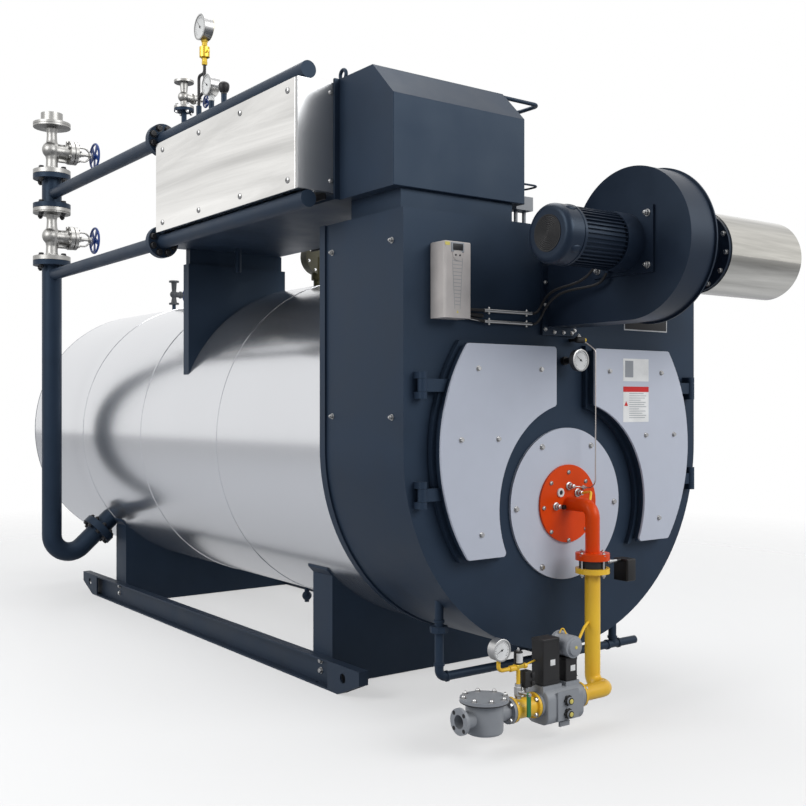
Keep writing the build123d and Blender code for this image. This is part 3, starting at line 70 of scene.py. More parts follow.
def spot(x, y, z):
    """A place on the boiler in metres from millimetres, with y counted from the smoke box's front face."""
    return Vector((x * mm, front_y + y * mm, z * mm))


def box_middle(node_name):
    low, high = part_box(node_name)
    return (Vector(low) + Vector(high)) / 2


riser_x, riser_y = box_middle("riser_spool")[:2]
shell_axis_z = box_middle("shell_casing").z
print("front face at", front_y, "riser at", riser_x, riser_y, "shell axis at", shell_axis_z)

# %% [markdown]
# ## Working by hand in a script
# Operators act on whatever is selected, and a freshly loaded frame leaves everything selected. So each step
# starts by deselecting, and each finished piece has its place and turn applied to its mesh.

# %% Small helpers for selecting and finishing
def deselect_all():
    if bpy.context.object and bpy.context.object.mode != "OBJECT":
        bpy.ops.object.mode_set(mode="OBJECT")
    bpy.ops.object.select_all(action="DESELECT")


def pick(piece):
    deselect_all()
    piece.select_set(True)
    bpy.context.view_layer.objects.active = piece


def settle(piece):
    pick(piece)
    bpy.ops.object.transform_apply(location=True, rotation=True, scale=True)


def soften(piece, width, segments=2):
    """Round the sharp edges with a bevel, as casting and sheet metal have."""
    pick(piece)
    rounding = piece.modifiers.new("rounding", "BEVEL")
    rounding.width = width * mm
    rounding.segments = segments
    rounding.limit_method = "ANGLE"
    rounding.angle_limit = math.radians(35)
    bpy.ops.object.modifier_apply(modifier=rounding.name)


def finish(piece, name, material, body="boiler"):
    """Name the piece, give it its finish and let it ride on its body."""
    settle(piece)
    piece.name = name
    piece.data.name = name
    piece.data.materials.clear()
    piece.data.materials.append(material)
    pick(piece)
    bpy.ops.object.shade_smooth_by_angle(angle=math.radians(35))
    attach(piece, body)
    deselect_all()
    return piece


def join(pieces):
    deselect_all()
    for piece in pieces:
        piece.select_set(True)
    bpy.context.view_layer.objects.active = pieces[0]
    if len(pieces) > 1:
        bpy.ops.object.join()
    return bpy.context.object


def discard(piece):
    bpy.data.objects.remove(piece, do_unlink=True)


# %% [markdown]
# A fitting is made once, standing on the origin along +Z, and then moved to its place and turned to the way
# it faces. Copies each get a mesh of their own, so that they export without trouble.

# %% Moving and copying
def standing(place, way):
    """The move from the origin and +Z to a place and the way that a piece faces."""
    return Matrix.Translation(Vector(place)) @ up.rotation_difference(Vector(way)).to_matrix().to_4x4()


def aimed(piece, way, place=(0, 0, 0)):
    piece.data.transform(standing(place, way))
    return piece


def moved(piece, place):
    piece.data.transform(Matrix.Translation(Vector(place)))
    return piece


def upright(piece, place, way):
    """Stand a piece on an upright face: it looks along a level way, and its own +Y ends up on top."""
    across = up.cross(way).normalized()
    turn = Matrix((across, way.cross(across), way)).transposed().to_4x4()
    piece.data.transform(Matrix.Translation(Vector(place)) @ turn)
    return piece


def copy_moved(template, move):
    piece = bpy.data.objects.new(template.name, template.data.copy())
    bpy.context.scene.collection.objects.link(piece)
    piece.data.transform(move)
    return piece


def copies(template, places):
    """Copies of a template at (place, way) pairs."""
    return [copy_moved(template, standing(place, way)) for place, way in places]


def spread(template, moves):
    """One copy of a template for each matrix; the template itself is dropped."""
    made = [copy_moved(template, move) for move in moves]
    discard(template)
    return made


# %% [markdown]
# Most fittings are turned parts or bent tubes. A turned part grows ring by ring: a circle is extruded along
# its axis and resized, as on a lathe. A tube follows a line whose corners are rounded to a bend radius.
# Radii and roundings are in millimetres.

# %% Turned parts, blocks and tubes
def turned(rings, sides=40):
    """A turned part along +Z. Each ring is (distance along the axis, radius)."""
    deselect_all()
    height, radius = rings[0]
    bpy.ops.mesh.primitive_circle_add(vertices=sides, radius=radius * mm, fill_type="NGON",
                                      location=(0, 0, height * mm))
    piece = bpy.context.object
    bpy.ops.object.transform_apply(location=True, rotation=True, scale=True)
    bpy.ops.object.mode_set(mode="EDIT")
    bpy.ops.mesh.select_all(action="SELECT")
    for next_height, next_radius in rings[1:]:
        step = (0, 0, (next_height - height) * mm)
        bpy.ops.mesh.extrude_region_move(TRANSFORM_OT_translate={"value": step})
        grow = next_radius / radius
        bpy.ops.transform.resize(value=(grow, grow, 1), center_override=(0, 0, next_height * mm))
        height, radius = next_height, next_radius
    bpy.ops.mesh.select_all(action="SELECT")
    bpy.ops.mesh.normals_make_consistent(inside=False)
    bpy.ops.object.mode_set(mode="OBJECT")
    return piece


def block(corner, other_corner, rounding=0.0):
    """A box between two opposite corners, with rounded edges."""
    deselect_all()
    low = Vector(min(pair) for pair in zip(corner, other_corner))
    high = Vector(max(pair) for pair in zip(corner, other_corner))
    bpy.ops.mesh.primitive_cube_add(size=1, location=(low + high) / 2)
    piece = bpy.context.object
    piece.scale = high - low
    bpy.ops.object.transform_apply(location=True, rotation=True, scale=True)
    if rounding:
        soften(piece, rounding, 3)
    return piece


def rounded_route(points, bend):
    """The corner points of a line, with each corner replaced by an arc of the bend radius."""
    points = [Vector(point) for point in points]
    route = [points[0]]
    for before, corner, after in zip(points, points[1:], points[2:]):
        enter = (before - corner).normalized()
        leave = (after - corner).normalized()
        half_turn = (math.pi - enter.angle(leave)) / 2
        if half_turn < 0.01:
            route.append(corner)
            continue
        longest = 0.49 * min((before - corner).length, (after - corner).length)
        tangent = min(bend * math.tan(half_turn), longest)
        radius = tangent / math.tan(half_turn)
        middle = corner + (enter + leave).normalized() * (radius / math.cos(half_turn))
        start = corner + enter * tangent - middle
        stop = corner + leave * tangent - middle
        sweep = start.angle(stop)
        steps = max(3, int(math.degrees(sweep) / 9))
        for step in range(steps + 1):
            share = step / steps
            first = math.sin((1 - share) * sweep) / math.sin(sweep)
            second = math.sin(share * sweep) / math.sin(sweep)
            route.append(middle + start * first + stop * second)
    route.append(points[-1])
    return route


def round_line(name, kind, points, radius, resolution):
    """A curve with a round section and closed ends, through points in metres."""
    line = bpy.data.curves.new(name, "CURVE")
    line.dimensions = "3D"
    line.bevel_depth = radius * mm
    line.bevel_resolution = resolution
    line.use_fill_caps = True
    spline = line.splines.new(kind)
    spline.points.add(len(points) - 1)
    for point, place in zip(spline.points, points):
        point.co = (*place, 1)
    return line


def tube(points, radius, bend, resolution=6):
    """A round bar or pipe along a line with rounded corners."""
    line = round_line("tube", "POLY", rounded_route(points, bend * mm), radius, resolution)
    piece = bpy.data.objects.new("tube", line)
    bpy.context.scene.collection.objects.link(piece)
    pick(piece)
    bpy.ops.object.convert(target="MESH")
    bpy.ops.object.mode_set(mode="EDIT")
    bpy.ops.mesh.select_all(action="SELECT")
    bpy.ops.mesh.remove_doubles(threshold=1e-6)
    bpy.ops.mesh.normals_make_consistent(inside=False)
    bpy.ops.object.mode_set(mode="OBJECT")
    return bpy.context.object


def ball(radius, place, segments, rings):
    deselect_all()
    bpy.ops.mesh.primitive_uv_sphere_add(segments=segments, ring_count=rings, radius=radius * mm,
                                         location=place)
    settle(bpy.context.object)
    return bpy.context.object


# %% Finished pieces in one step
def turned_piece(name, material, rings, sides, place, way):
    """A turned part on a spot, facing a way, with its finish."""
    return finish(aimed(turned(rings, sides), way, spot(*place)), name, material)


def block_piece(name, material, low, high, rounding=0.0, body="boiler"):
    """A box between two spots, with its finish."""
    return finish(block(spot(*low), spot(*high), rounding), name, material, body)


def tube_piece(name, material, places, radius, bend, resolution=6):
    """A tube through spots, with its finish."""
    return finish(tube([spot(*place) for place in places], radius, bend, resolution), name, material)


# %% [markdown]
# ## Finishes
# Three effects come back in most of the finishes: a fine grain in the surface, rubbed edges, and a thin veil
# of dust that gathers low down and on top faces. Each is a node group with named inputs, so every material
# can use it with values of its own.

# %% Node groups for grain, edge wear and dust
def new_group(name, inputs, outputs):
    group = bpy.data.node_groups.new(name, "ShaderNodeTree")
    for label, kind, value in inputs:
        socket = group.interface.new_socket(label, in_out="INPUT", socket_type=kind)
        if value is not None:
            socket.default_value = value
    for label, kind in outputs:
        group.interface.new_socket(label, in_out="OUTPUT", socket_type=kind)
    return group, group.nodes.new("NodeGroupInput"), group.nodes.new("NodeGroupOutput")


def feed(tree, socket, value):
    """Set an input to a number or a colour, or link it to another node's output."""
    if isinstance(value, (int, float)):
        socket.default_value = value
    elif isinstance(value, tuple):
        socket.default_value = (*value, 1)
    else:
        tree.links.new(value, socket)


def math_node(tree, operation, first, second, clamp=False):
    node = tree.nodes.new("ShaderNodeMath")
    node.operation = operation
    node.use_clamp = clamp
    feed(tree, node.inputs[0], first)
    feed(tree, node.inputs[1], second)
    return node.outputs[0]


def noise_node(tree, vector, scale, detail, roughness=0.5):
    node = tree.nodes.new("ShaderNodeTexNoise")
    node.inputs["Detail"].default_value = detail
    node.inputs["Roughness"].default_value = roughness
    feed(tree, node.inputs["Scale"], scale)
    tree.links.new(vector, node.inputs["Vector"])
    return node.outputs["Fac"]


def stretched(tree, vector, stretch):
    node = tree.nodes.new("ShaderNodeMapping")
    node.inputs["Scale"].default_value = stretch
    tree.links.new(vector, node.inputs["Vector"])
    return node.outputs["Vector"]


grain_group, grain_in, grain_out = new_group("SurfaceGrain",
                                             [("Vector", "NodeSocketVector", None),
                                              ("Scale", "NodeSocketFloat", 400.0)],
                                             [("Height", "NodeSocketFloat"), ("Cloud", "NodeSocketFloat")])
fine_grain = noise_node(grain_group, grain_in.outputs["Vector"], grain_in.outputs["Scale"], 3.0)
cloud_scale = math_node(grain_group, "MULTIPLY", grain_in.outputs["Scale"], 0.012)
cloud = noise_node(grain_group, grain_in.outputs["Vector"], cloud_scale, 5.0)
grain_group.links.new(fine_grain, grain_out.inputs["Height"])
grain_group.links.new(cloud, grain_out.inputs["Cloud"])

wear_group, wear_in, wear_out = new_group("EdgeWear",
                                          [("Vector", "NodeSocketVector", None),
                                           ("Width", "NodeSocketFloat", 0.002)],
                                          [("Mask", "NodeSocketFloat")])
worn_normal = wear_group.nodes.new("ShaderNodeBevel")
worn_normal.samples = 4
wear_group.links.new(wear_in.outputs["Width"], worn_normal.inputs["Radius"])
true_normal = wear_group.nodes.new("ShaderNodeNewGeometry")
facing = wear_group.nodes.new("ShaderNodeVectorMath")
facing.operation = "DOT_PRODUCT"
wear_group.links.new(worn_normal.outputs["Normal"], facing.inputs[0])
wear_group.links.new(true_normal.outputs["Normal"], facing.inputs[1])
edge = math_node(wear_group, "SUBTRACT", 1.0, facing.outputs["Value"], clamp=True)
patches = noise_node(wear_group, wear_in.outputs["Vector"], 30.0, 4.0)
strong = math_node(wear_group, "MULTIPLY", edge, 6.0, clamp=True)
wear_group.links.new(math_node(wear_group, "MULTIPLY", strong, patches, clamp=True), wear_out.inputs["Mask"])

dust_group, dust_in, dust_out = new_group("DustVeil",
                                          [("Vector", "NodeSocketVector", None),
                                           ("Reach", "NodeSocketFloat", 0.5)], [("Mask", "NodeSocketFloat")])
dust_place = dust_group.nodes.new("ShaderNodeSeparateXYZ")
dust_group.links.new(dust_in.outputs["Vector"], dust_place.inputs["Vector"])
height_share = math_node(dust_group, "DIVIDE", dust_place.outputs["Z"], dust_in.outputs["Reach"])
low_down = math_node(dust_group, "SUBTRACT", 1.0, height_share, clamp=True)
dust_normal = dust_group.nodes.new("ShaderNodeNewGeometry")
dust_facing = dust_group.nodes.new("ShaderNodeSeparateXYZ")
dust_group.links.new(dust_normal.outputs["Normal"], dust_facing.inputs["Vector"])
upward = math_node(dust_group, "MULTIPLY", dust_facing.outputs["Z"], 0.6, clamp=True)
settled = math_node(dust_group, "MAXIMUM", math_node(dust_group, "MULTIPLY", low_down, 0.7), upward)
blotches = noise_node(dust_group, dust_in.outputs["Vector"], 9.0, 6.0, 0.65)
dust_group.links.new(math_node(dust_group, "MULTIPLY", settled, blotches, clamp=True),
                     dust_out.inputs["Mask"])
print("node groups:", [group.name for group in bpy.data.node_groups])

# %% [markdown]
# A painted part is a base colour with faint clouds in it, a satin coat with orange-peel grain, and edges
# that are rubbed a little lighter. The same recipe serves the navy, orange, yellow, blue and grey paints,
# each with its own colour, gloss and grain.

# %% Paint recipe
def linked_group(tree, group, vector, **values):
    node = tree.nodes.new("ShaderNodeGroup")
    node.node_tree = group
    tree.links.new(vector, node.inputs["Vector"])
    for label, value in values.items():
        node.inputs[label].default_value = value
    return node


def mixed_colour(tree, share, first, second):
    node = tree.nodes.new("ShaderNodeMix")
    node.data_type = "RGBA"
    for label, value in (("Factor", share), ("A", first), ("B", second)):
        feed(tree, node.inputs[label], value)
    return node.outputs["Result"]


def ranged(tree, value, low, high):
    node = tree.nodes.new("ShaderNodeMapRange")
    node.inputs["From Min"].default_value = 0.3
    node.inputs["From Max"].default_value = 0.7
    node.inputs["To Min"].default_value = low
    node.inputs["To Max"].default_value = high
    tree.links.new(value, node.inputs["Value"])
    return node.outputs["Result"]


def new_material(name):
    material = bpy.data.materials.new(name)
    material.use_nodes = True
    tree = material.node_tree
    shader = tree.nodes["Principled BSDF"]
    place = tree.nodes.new("ShaderNodeTexCoord").outputs["Object"]
    return material, tree, shader, place


def add_bump(tree, shader, height, strength, distance):
    bump = tree.nodes.new("ShaderNodeBump")
    bump.inputs["Strength"].default_value = strength
    bump.inputs["Distance"].default_value = distance
    tree.links.new(height, bump.inputs["Height"])
    tree.links.new(bump.outputs["Normal"], shader.inputs["Normal"])


def painted(name, colour, gloss=0.38, grain=420.0, peel=0.12, rub=0.3, dust=0.12, coat=0.0, sheen=0.3,
            clouds=0.12, tint=(1, 1, 1)):
    material, tree, shader, place = new_material(name)
    grain_node = linked_group(tree, grain_group, place, Scale=grain)
    wear_node = linked_group(tree, wear_group, place, Width=0.0018)
    dust_node = linked_group(tree, dust_group, place, Reach=0.35)
    lighter = tuple(min(1.0, part * (1 + clouds)) for part in colour)
    darker = tuple(part * (1 - clouds) for part in colour)
    rubbed = tuple(min(1.0, part * 1.4 + 0.03) for part in colour)
    shade = mixed_colour(tree, ranged(tree, grain_node.outputs["Cloud"], 0.0, 1.0), darker, lighter)
    worn = mixed_colour(tree, math_node(tree, "MULTIPLY", wear_node.outputs["Mask"], rub), shade, rubbed)
    dusty = mixed_colour(tree, math_node(tree, "MULTIPLY", dust_node.outputs["Mask"], dust), worn,
                         (0.33, 0.31, 0.28))
    tree.links.new(dusty, shader.inputs["Base Color"])
    tree.links.new(ranged(tree, grain_node.outputs["Cloud"], gloss - 0.05, gloss + 0.07),
                   shader.inputs["Roughness"])
    shader.inputs["Specular IOR Level"].default_value = sheen
    shader.inputs["Specular Tint"].default_value = (*tint, 1)
    shader.inputs["Coat Weight"].default_value = coat
    shader.inputs["Coat Roughness"].default_value = 0.12
    add_bump(tree, shader, grain_node.outputs["Height"], peel, 0.0004)
    return material


navy_tint = (0.55, 0.75, 1.0)
orange_tint = (1.0, 0.7, 0.5)
navy_paint = painted("navy_satin_paint", (0.017, 0.028, 0.048), gloss=0.46, dust=0.05, sheen=0.28,
                     tint=navy_tint)
fan_paint = painted("fan_navy_paint", (0.010, 0.016, 0.029), gloss=0.38, dust=0.04, tint=navy_tint)
burner_orange = painted("burner_orange_paint", (0.72, 0.058, 0.002), gloss=0.34, dust=0.0, coat=0.04,
                        tint=orange_tint)
gas_yellow = painted("gas_pipe_yellow_paint", (0.97, 0.56, 0.040), gloss=0.34, dust=0.03, coat=0.08)
wheel_blue = painted("handwheel_blue_paint", (0.008, 0.040, 0.20), gloss=0.35, rub=0.6)
door_grey = painted("door_panel_grey", (0.55, 0.58, 0.655), gloss=0.55, grain=900.0, peel=0.03, rub=0.2,
                    dust=0.0, sheen=0.25, clouds=0.015)
casting_grey = painted("gas_valve_grey_casting", (0.30, 0.315, 0.335), gloss=0.42, grain=300.0, peel=0.30)
coil_black = painted("coil_black_plastic", (0.012, 0.012, 0.013), gloss=0.45, grain=900.0, peel=0.20,
                     rub=0.15)
inverter_shell = painted("inverter_warm_plastic", (0.56, 0.52, 0.49), gloss=0.42, grain=800.0, peel=0.15,
                         rub=0.1, dust=0.1)
lever_green = painted("lever_green_paint", (0.015, 0.20, 0.075), gloss=0.32, rub=0.5)
rubber_black = painted("cable_black_rubber", (0.010, 0.010, 0.011), gloss=0.55, grain=900.0, peel=0.2,
                       rub=0.1)
aged_bronze = painted("aged_bronze", (0.050, 0.046, 0.018), gloss=0.45, grain=300.0, peel=0.2, clouds=0.3)
valve_iron = painted("small_valve_dark_iron", (0.060, 0.065, 0.072), gloss=0.36, grain=300.0, peel=0.3,
                     clouds=0.2)
black_iron = painted("blackened_steel", (0.016, 0.016, 0.018), gloss=0.40, grain=500.0, peel=0.25)
dial_white = painted("dial_white_enamel", (0.82, 0.82, 0.80), gloss=0.30, grain=900.0, peel=0.03, rub=0.1,
                     dust=0.05)
cap_yellow = painted("pale_yellow_plastic", (0.72, 0.62, 0.16), gloss=0.40, grain=900.0, peel=0.05, rub=0.1,
                     dust=0.05)
label_red = painted("label_red_ink", (0.60, 0.02, 0.02), gloss=0.45, grain=900.0, peel=0.03, rub=0.05,
                    dust=0.02)
ink_black = painted("dial_ink_black", (0.012, 0.012, 0.014), gloss=0.45, grain=900.0, peel=0.05, rub=0.05,
                    dust=0.05)
print("paints:", len(bpy.data.materials))

# %% [markdown]
# The bare metals reflect the room, so their finish is in the roughness and in a fine bump: long streaks
# along the rolling direction on sheet, and a dull grain on plated bolts, castings and brass. Castings and
# plated pieces also get painted shade: their colour is darker on faces that look down.

# %% Bare metal recipe
def metal(name, colour, roughness=0.25, stretch=(1, 1, 1), scale=60.0, bump=0.05, depth=0.0004, clouds=0.12,
          metallic=1.0, waves=0.0, underside_shade=0.0, spread=0.25):
    material, tree, shader, place = new_material(name)
    grain_node = linked_group(tree, grain_group, place, Scale=300.0)
    lines = noise_node(tree, stretched(tree, place, stretch), scale, 6.0, 0.6)
    lines.node.inputs["Distortion"].default_value = waves
    darker = tuple(part * (1 - clouds) for part in colour)
    shade = mixed_colour(tree, ranged(tree, lines, 0.0, 1.0), darker, colour)
    # Painted shade: faces that look down get a darker base colour.
    if underside_shade:
        normal = tree.nodes.new("ShaderNodeNewGeometry").outputs["Normal"]
        facing_way = tree.nodes.new("ShaderNodeSeparateXYZ")
        tree.links.new(normal, facing_way.inputs["Vector"])
        underside_shade_share = math_node(tree, "MULTIPLY_ADD", facing_way.outputs["Z"], -0.75)
        underside_shade_share.node.inputs[2].default_value = 0.30
        underside_shade_share.node.use_clamp = True
        shaded_colour = tuple(part * (1 - underside_shade) for part in colour)
        shade = mixed_colour(tree, underside_shade_share, shade, shaded_colour)
    tree.links.new(shade, shader.inputs["Base Color"])
    tree.links.new(ranged(tree, grain_node.outputs["Cloud"], roughness * (1 - spread),
                          roughness * (1 + spread)), shader.inputs["Roughness"])
    shader.inputs["Metallic"].default_value = metallic
    add_bump(tree, shader, lines, bump, depth)
    return material


shell_sheet = metal("shell_bright_cladding", (0.70, 0.71, 0.735), roughness=0.19, stretch=(0.6, 1.5, 0.6),
                    scale=1.0, bump=0.0, clouds=0.02, metallic=0.9, spread=0.02)
mirror_sheet = metal("coil_cover_mirror_steel", (0.91, 0.90, 0.875), roughness=0.15, stretch=(2, 0.3, 4.5),
                     scale=1.6, bump=0.05, depth=0.001, clouds=0.42, waves=0.8, spread=0.1)
intake_steel = metal("intake_tube_stainless", (0.84, 0.82, 0.76), roughness=0.12, stretch=(0.25, 5, 5),
                     scale=1.9, bump=0.03, depth=0.001, clouds=0.72, waves=0.25, spread=0.1)
cover_end_sheet = metal("coil_cover_end_sheet", (0.44, 0.445, 0.45), roughness=0.20, scale=3.0, bump=0.0,
                        clouds=0.10, metallic=0.7, spread=0.05)
valve_silver = metal("valve_cast_aluminium", (0.43, 0.425, 0.41), roughness=0.40, scale=60.0, bump=0.06,
                     clouds=0.08, underside_shade=0.6, spread=0.08)
zinc_steel = metal("zinc_plated_steel", (0.50, 0.50, 0.50), roughness=0.34, scale=120.0, bump=0.1,
                   underside_shade=0.5)
yellow_brass = metal("gauge_cock_brass", (0.72, 0.50, 0.07), roughness=0.26, scale=90.0, bump=0.12,
                     clouds=0.15)
tinned_tube = metal("thin_tinned_tube", (0.50, 0.46, 0.44), roughness=0.32, scale=120.0, bump=0.08)
print("materials:", len(bpy.data.materials))

# %% Finishes on the CAD nodes
node_finish = [
    (navy_paint, ["smoke_box_front", "smoke_box_casing", "rear_end_plate", "saddles", "left_skid_beam",
                  "right_skid_beam", "economizer_hood", "economizer_body", "economizer_support",
                  "upper_header", "lower_header", "upper_branch_pipe", "lower_branch_pipe", "riser_spool",
                  "riser_pipe", "shell_nozzle", "left_door", "right_door", "door_hinges",
                  "front_drain_pipe", "shell_drain_valve"]),
    (fan_paint, ["fan_volute", "fan_motor"]),
    (shell_sheet, ["shell_casing"]),
    (mirror_sheet, ["left_coil_cover", "right_coil_cover"]),
    (intake_steel, ["intake_tube"]),
    (valve_silver, ["upper_valve", "lower_valve", "outlet_cap", "vent_valve", "shell_top_valve"]),
    (wheel_blue, ["upper_handwheel", "lower_handwheel", "vent_handwheel", "shell_top_handwheel"]),
    (door_grey, ["burner_plate", "left_door_panel", "right_door_panel"]),
    (burner_orange, ["burner_head"]),
    (gas_yellow, ["gas_riser", "gas_ball_valve", "gauge_line"]),
    (casting_grey, ["gas_block", "gas_regulator", "gas_filter", "junction_box"]),
    (coil_black, ["gas_damper", "damper_actuator", "gas_solenoids"]),
    (inverter_shell, ["inverter_box"]),
    (zinc_steel, ["cable_rails", "thermometer", "second_gauge"]),
    (yellow_brass, ["gauge_stand"]),
    (aged_bronze, ["shell_port"]),
    (lever_green, ["cock_lever"]),
    (rubber_black, ["upper_motor_cable", "lower_motor_cable"]),
]
for material, node_names in node_finish:
    for node_name in node_names:
        for slot in bpy.data.objects[node_name].material_slots:
            slot.material = material
print("finished nodes:", sum(len(node_names) for material, node_names in node_finish))

# %% [markdown]
# ## Bolts, screws and nuts
# Flanges are clamped by hexagon bolts on washers, covers by low round screws, and the filter lid by domed
# nuts. Each kind is turned once, standing on z = 0, and then copied to every place round its flange or along
# its edge. All sizes are in millimetres.

# %% Places round an axis and along a line
def ring_places(centre, axis, radius, count, start=0.0, lift=0.0):
    """Places spread evenly round an axis through a centre, all facing along it."""
    side = axis.orthogonal().normalized()
    places = []
    for step in range(count):
        turn = Matrix.Rotation(start + step * 2 * math.pi / count, 4, axis)
        places.append((Vector(centre) + (turn @ side * radius + axis * lift) * mm, axis))
    return places


def line_places(first, last, count, direction):
    first, last = Vector(first), Vector(last)
    return [(first.lerp(last, step / (count - 1)), direction) for step in range(count)]


# %% Fastener shapes
def hex_bolt(across, head, washer=1.6):
    """A bolt head with a chamfered top, on a flat washer."""
    disc = turned([(-0.5, across * 0.72), (washer, across * 0.72)], 24)
    corner = across / math.sqrt(3)
    top = turned([(washer, corner), (washer + head * 0.82, corner), (washer + head, corner * 0.86)], 6)
    return join([disc, top])


def nut_on_stud(across, height, thread, proud):
    """A hexagon nut on a washer with the end of its stud showing."""
    nut = hex_bolt(across, height)
    stud = turned([(0, thread), (height + proud, thread), (height + proud + thread * 0.3, thread * 0.7)], 16)
    return join([nut, stud])


def round_screw(radius, height):
    """A low domed head with a round hollow."""
    return turned([(-0.4, radius), (height * 0.35, radius * 0.98), (height * 0.75, radius * 0.80),
                   (height, radius * 0.48), (height * 0.35, radius * 0.44)], 24)


def dome_nut(across, height):
    """A closed cap nut: a hexagon with a ball top."""
    corner = across / math.sqrt(3)
    base = turned([(-0.5, corner * 1.25), (1.5, corner * 1.25)], 24)
    hexagon = turned([(1.5, corner), (height * 0.5, corner)], 6)
    cap = turned([(height * 0.5, across * 0.46), (height * 0.75, across * 0.40),
                  (height * 0.93, across * 0.24), (height, across * 0.08)], 20)
    return join([base, hexagon, cap])


def fasten(name, template, places, material, body="boiler"):
    """Copy a fastener to its places, join the copies to one piece and drop the template."""
    made = join(copies(template, places))
    discard(template)
    return finish(made, name, material, body)


# %% [markdown]
# The riser's flanges carry four bolts a joint. The heads stand on the upper flange and the nuts hang under
# the lower one, so both sides get a ring. The joints of the header pipes and of the shell's nozzle have
# eight bolts each, on smaller circles.

# %% Riser and header bolts
joint_bolt_circle, flange_thickness = 89, 28
spool_low, spool_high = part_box("riser_spool")
joint_heights = {"upper": spool_high[2], "middle": spool_low[2], "lower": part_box("riser_pipe")[1][2]}
joint_turns = [math.radians(30 + 90 * step) for step in range(4)]
for joint_name, joint_z in joint_heights.items():
    corners = [Vector((riser_x, riser_y, joint_z)) + at(math.cos(turn), math.sin(turn), 0) * joint_bolt_circle
               for turn in joint_turns]
    fasten(joint_name + "_joint_bolts", hex_bolt(26, 12),
           [(corner + up * flange_thickness * mm, up) for corner in corners], black_iron)
    fasten(joint_name + "_joint_nuts", nut_on_stud(26, 15, 9, 6),
           [(corner + down * flange_thickness * mm, down) for corner in corners], black_iron)


def bolt_joint(name, joint, way, circle, head, lift):
    """Eight bolts through a pipe joint: the heads look along the way, the nuts against it."""
    fasten(name + "_bolts", hex_bolt(24, head),
           ring_places(joint, way, circle, 8, math.pi / 8, lift), black_iron)
    fasten(name + "_nuts", nut_on_stud(24, 13, 8, 5),
           ring_places(joint, -way, circle, 8, math.pi / 8, lift), black_iron)


header_joint_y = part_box("upper_header")[1][1]
for header_name in ("upper", "lower"):
    header_joint = (riser_x, header_joint_y, box_middle(header_name + "_branch_pipe").z)
    bolt_joint(header_name + "_header", header_joint, ahead, 56, 12, 18)
nozzle_tilt, nozzle_reach = math.radians(42), 900
nozzle_way = Vector((math.cos(nozzle_tilt), 0, math.sin(nozzle_tilt)))
nozzle_joint = Vector((0, riser_y, shell_axis_z)) - nozzle_way * nozzle_reach * mm
bolt_joint("nozzle", nozzle_joint, -nozzle_way, 80, 11, 22)
print("riser joints at", {name: round(z, 3) for name, z in joint_heights.items()})

# %% [markdown]
# ## Globe valves
# A globe valve is one casting: two necks, a ball between them and a barrel for the stem. Its surfaces run
# into each other with large fillets. So the plain shapes are joined, remeshed to one skin and smoothed,
# which melts the corners as sand casting does. The machined flanges, the yoke and the stem stay crisp and
# are added after that.

# %% Valve casting
def melted(pieces, voxel, rounds):
    """One skin over several overlapping pieces, with softened corners."""
    skin = join(pieces)
    pick(skin)
    remesh = skin.modifiers.new("skin", "REMESH")
    remesh.mode = "VOXEL"
    remesh.voxel_size = voxel * mm
    bpy.ops.object.modifier_apply(modifier=remesh.name)
    smooth = skin.modifiers.new("melt", "SMOOTH")
    smooth.factor = 0.7
    smooth.iterations = rounds
    bpy.ops.object.modifier_apply(modifier=smooth.name)
    return skin


def globe_valve(bottom, top, second_flange):
    """A globe valve round the origin: necks along Z between two flange faces, and the stem along +X."""
    casting = melted([ball(50, at(-7, 0, 3), 40, 24),
                      turned([(10, 42), (60, 31), (100, 29), (top - 10, 38)], 32),
                      turned([(-10, 42), (-58, 33), (-100, 35), (bottom + 20, 50)], 32),
                      aimed(turned([(0, 44), (60, 43), (98, 50)], 40), right),
                      block(at(20, -9, -66), at(92, 9, -20))], 3.2, 7)
    pieces = [casting,
              turned([(bottom, 106), (bottom + 2, 108), (bottom + 26, 108), (bottom + 28, 106),
                      (bottom + 28, 62), (bottom + 34, 44)], 64),
              turned([(top, 106), (top - 2, 108), (top - 12, 108), (top - 14, 106), (top - 14, 50),
                      (top - 20, 34)], 64),
              aimed(turned([(94, 60), (98, 70), (120, 70), (122, 62), (124, 62), (126, 69), (146, 69),
                            (150, 52), (158, 30), (158, 18), (176, 18), (178, 13), (192, 13)], 48), right)]
    if second_flange:
        pieces.append(turned([(second_flange, 106), (second_flange - 2, 108), (second_flange - 28, 108),
                              (second_flange - 30, 106)], 64))
    for side in (1, -1):
        yoke = [at(150, 0, side * 30), at(176, 0, side * 42), at(206, 0, side * 40), at(236, 0, side * 12)]
        pieces.append(tube(yoke, 5.5, 30))
    pieces.append(aimed(turned([(224, 15), (226, 17), (234, 17), (236, 14)], 24), right))
    pieces.append(aimed(turned([(150, 9), (240, 9)], 20), right))
    bolt = hex_bolt(20, 11)
    for way, lift in ((right, 146), (left, -98)):
        pieces += copies(bolt, ring_places((0, 0, 0), way, 57, 6, 0.2, lift))
    discard(bolt)
    return join(pieces)


# %% Both riser valves
valve_middle = (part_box("outlet_cap")[0][2] - joint_heights["upper"]) / 2 / mm
second_flange = (joint_heights["middle"] - joint_heights["lower"]) / mm - valve_middle
for valve_name, joint_name, second in (("upper_valve", "upper", None),
                                       ("lower_valve", "lower", second_flange)):
    valve = globe_valve(-valve_middle, valve_middle, second)
    moved(valve, (riser_x, riser_y, joint_heights[joint_name] + valve_middle * mm))
    finish(valve, valve_name + "_casting", valve_silver)
    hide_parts(valve_name)
    print(valve_name, len(valve.data.polygons), "faces")

# %% [markdown]
# The hand wheels look like slotted discs from afar: a round rim, a hub and five broad spokes that widen
# towards the rim. A torus makes the rim, and each spoke is a block whose outer end is widened.

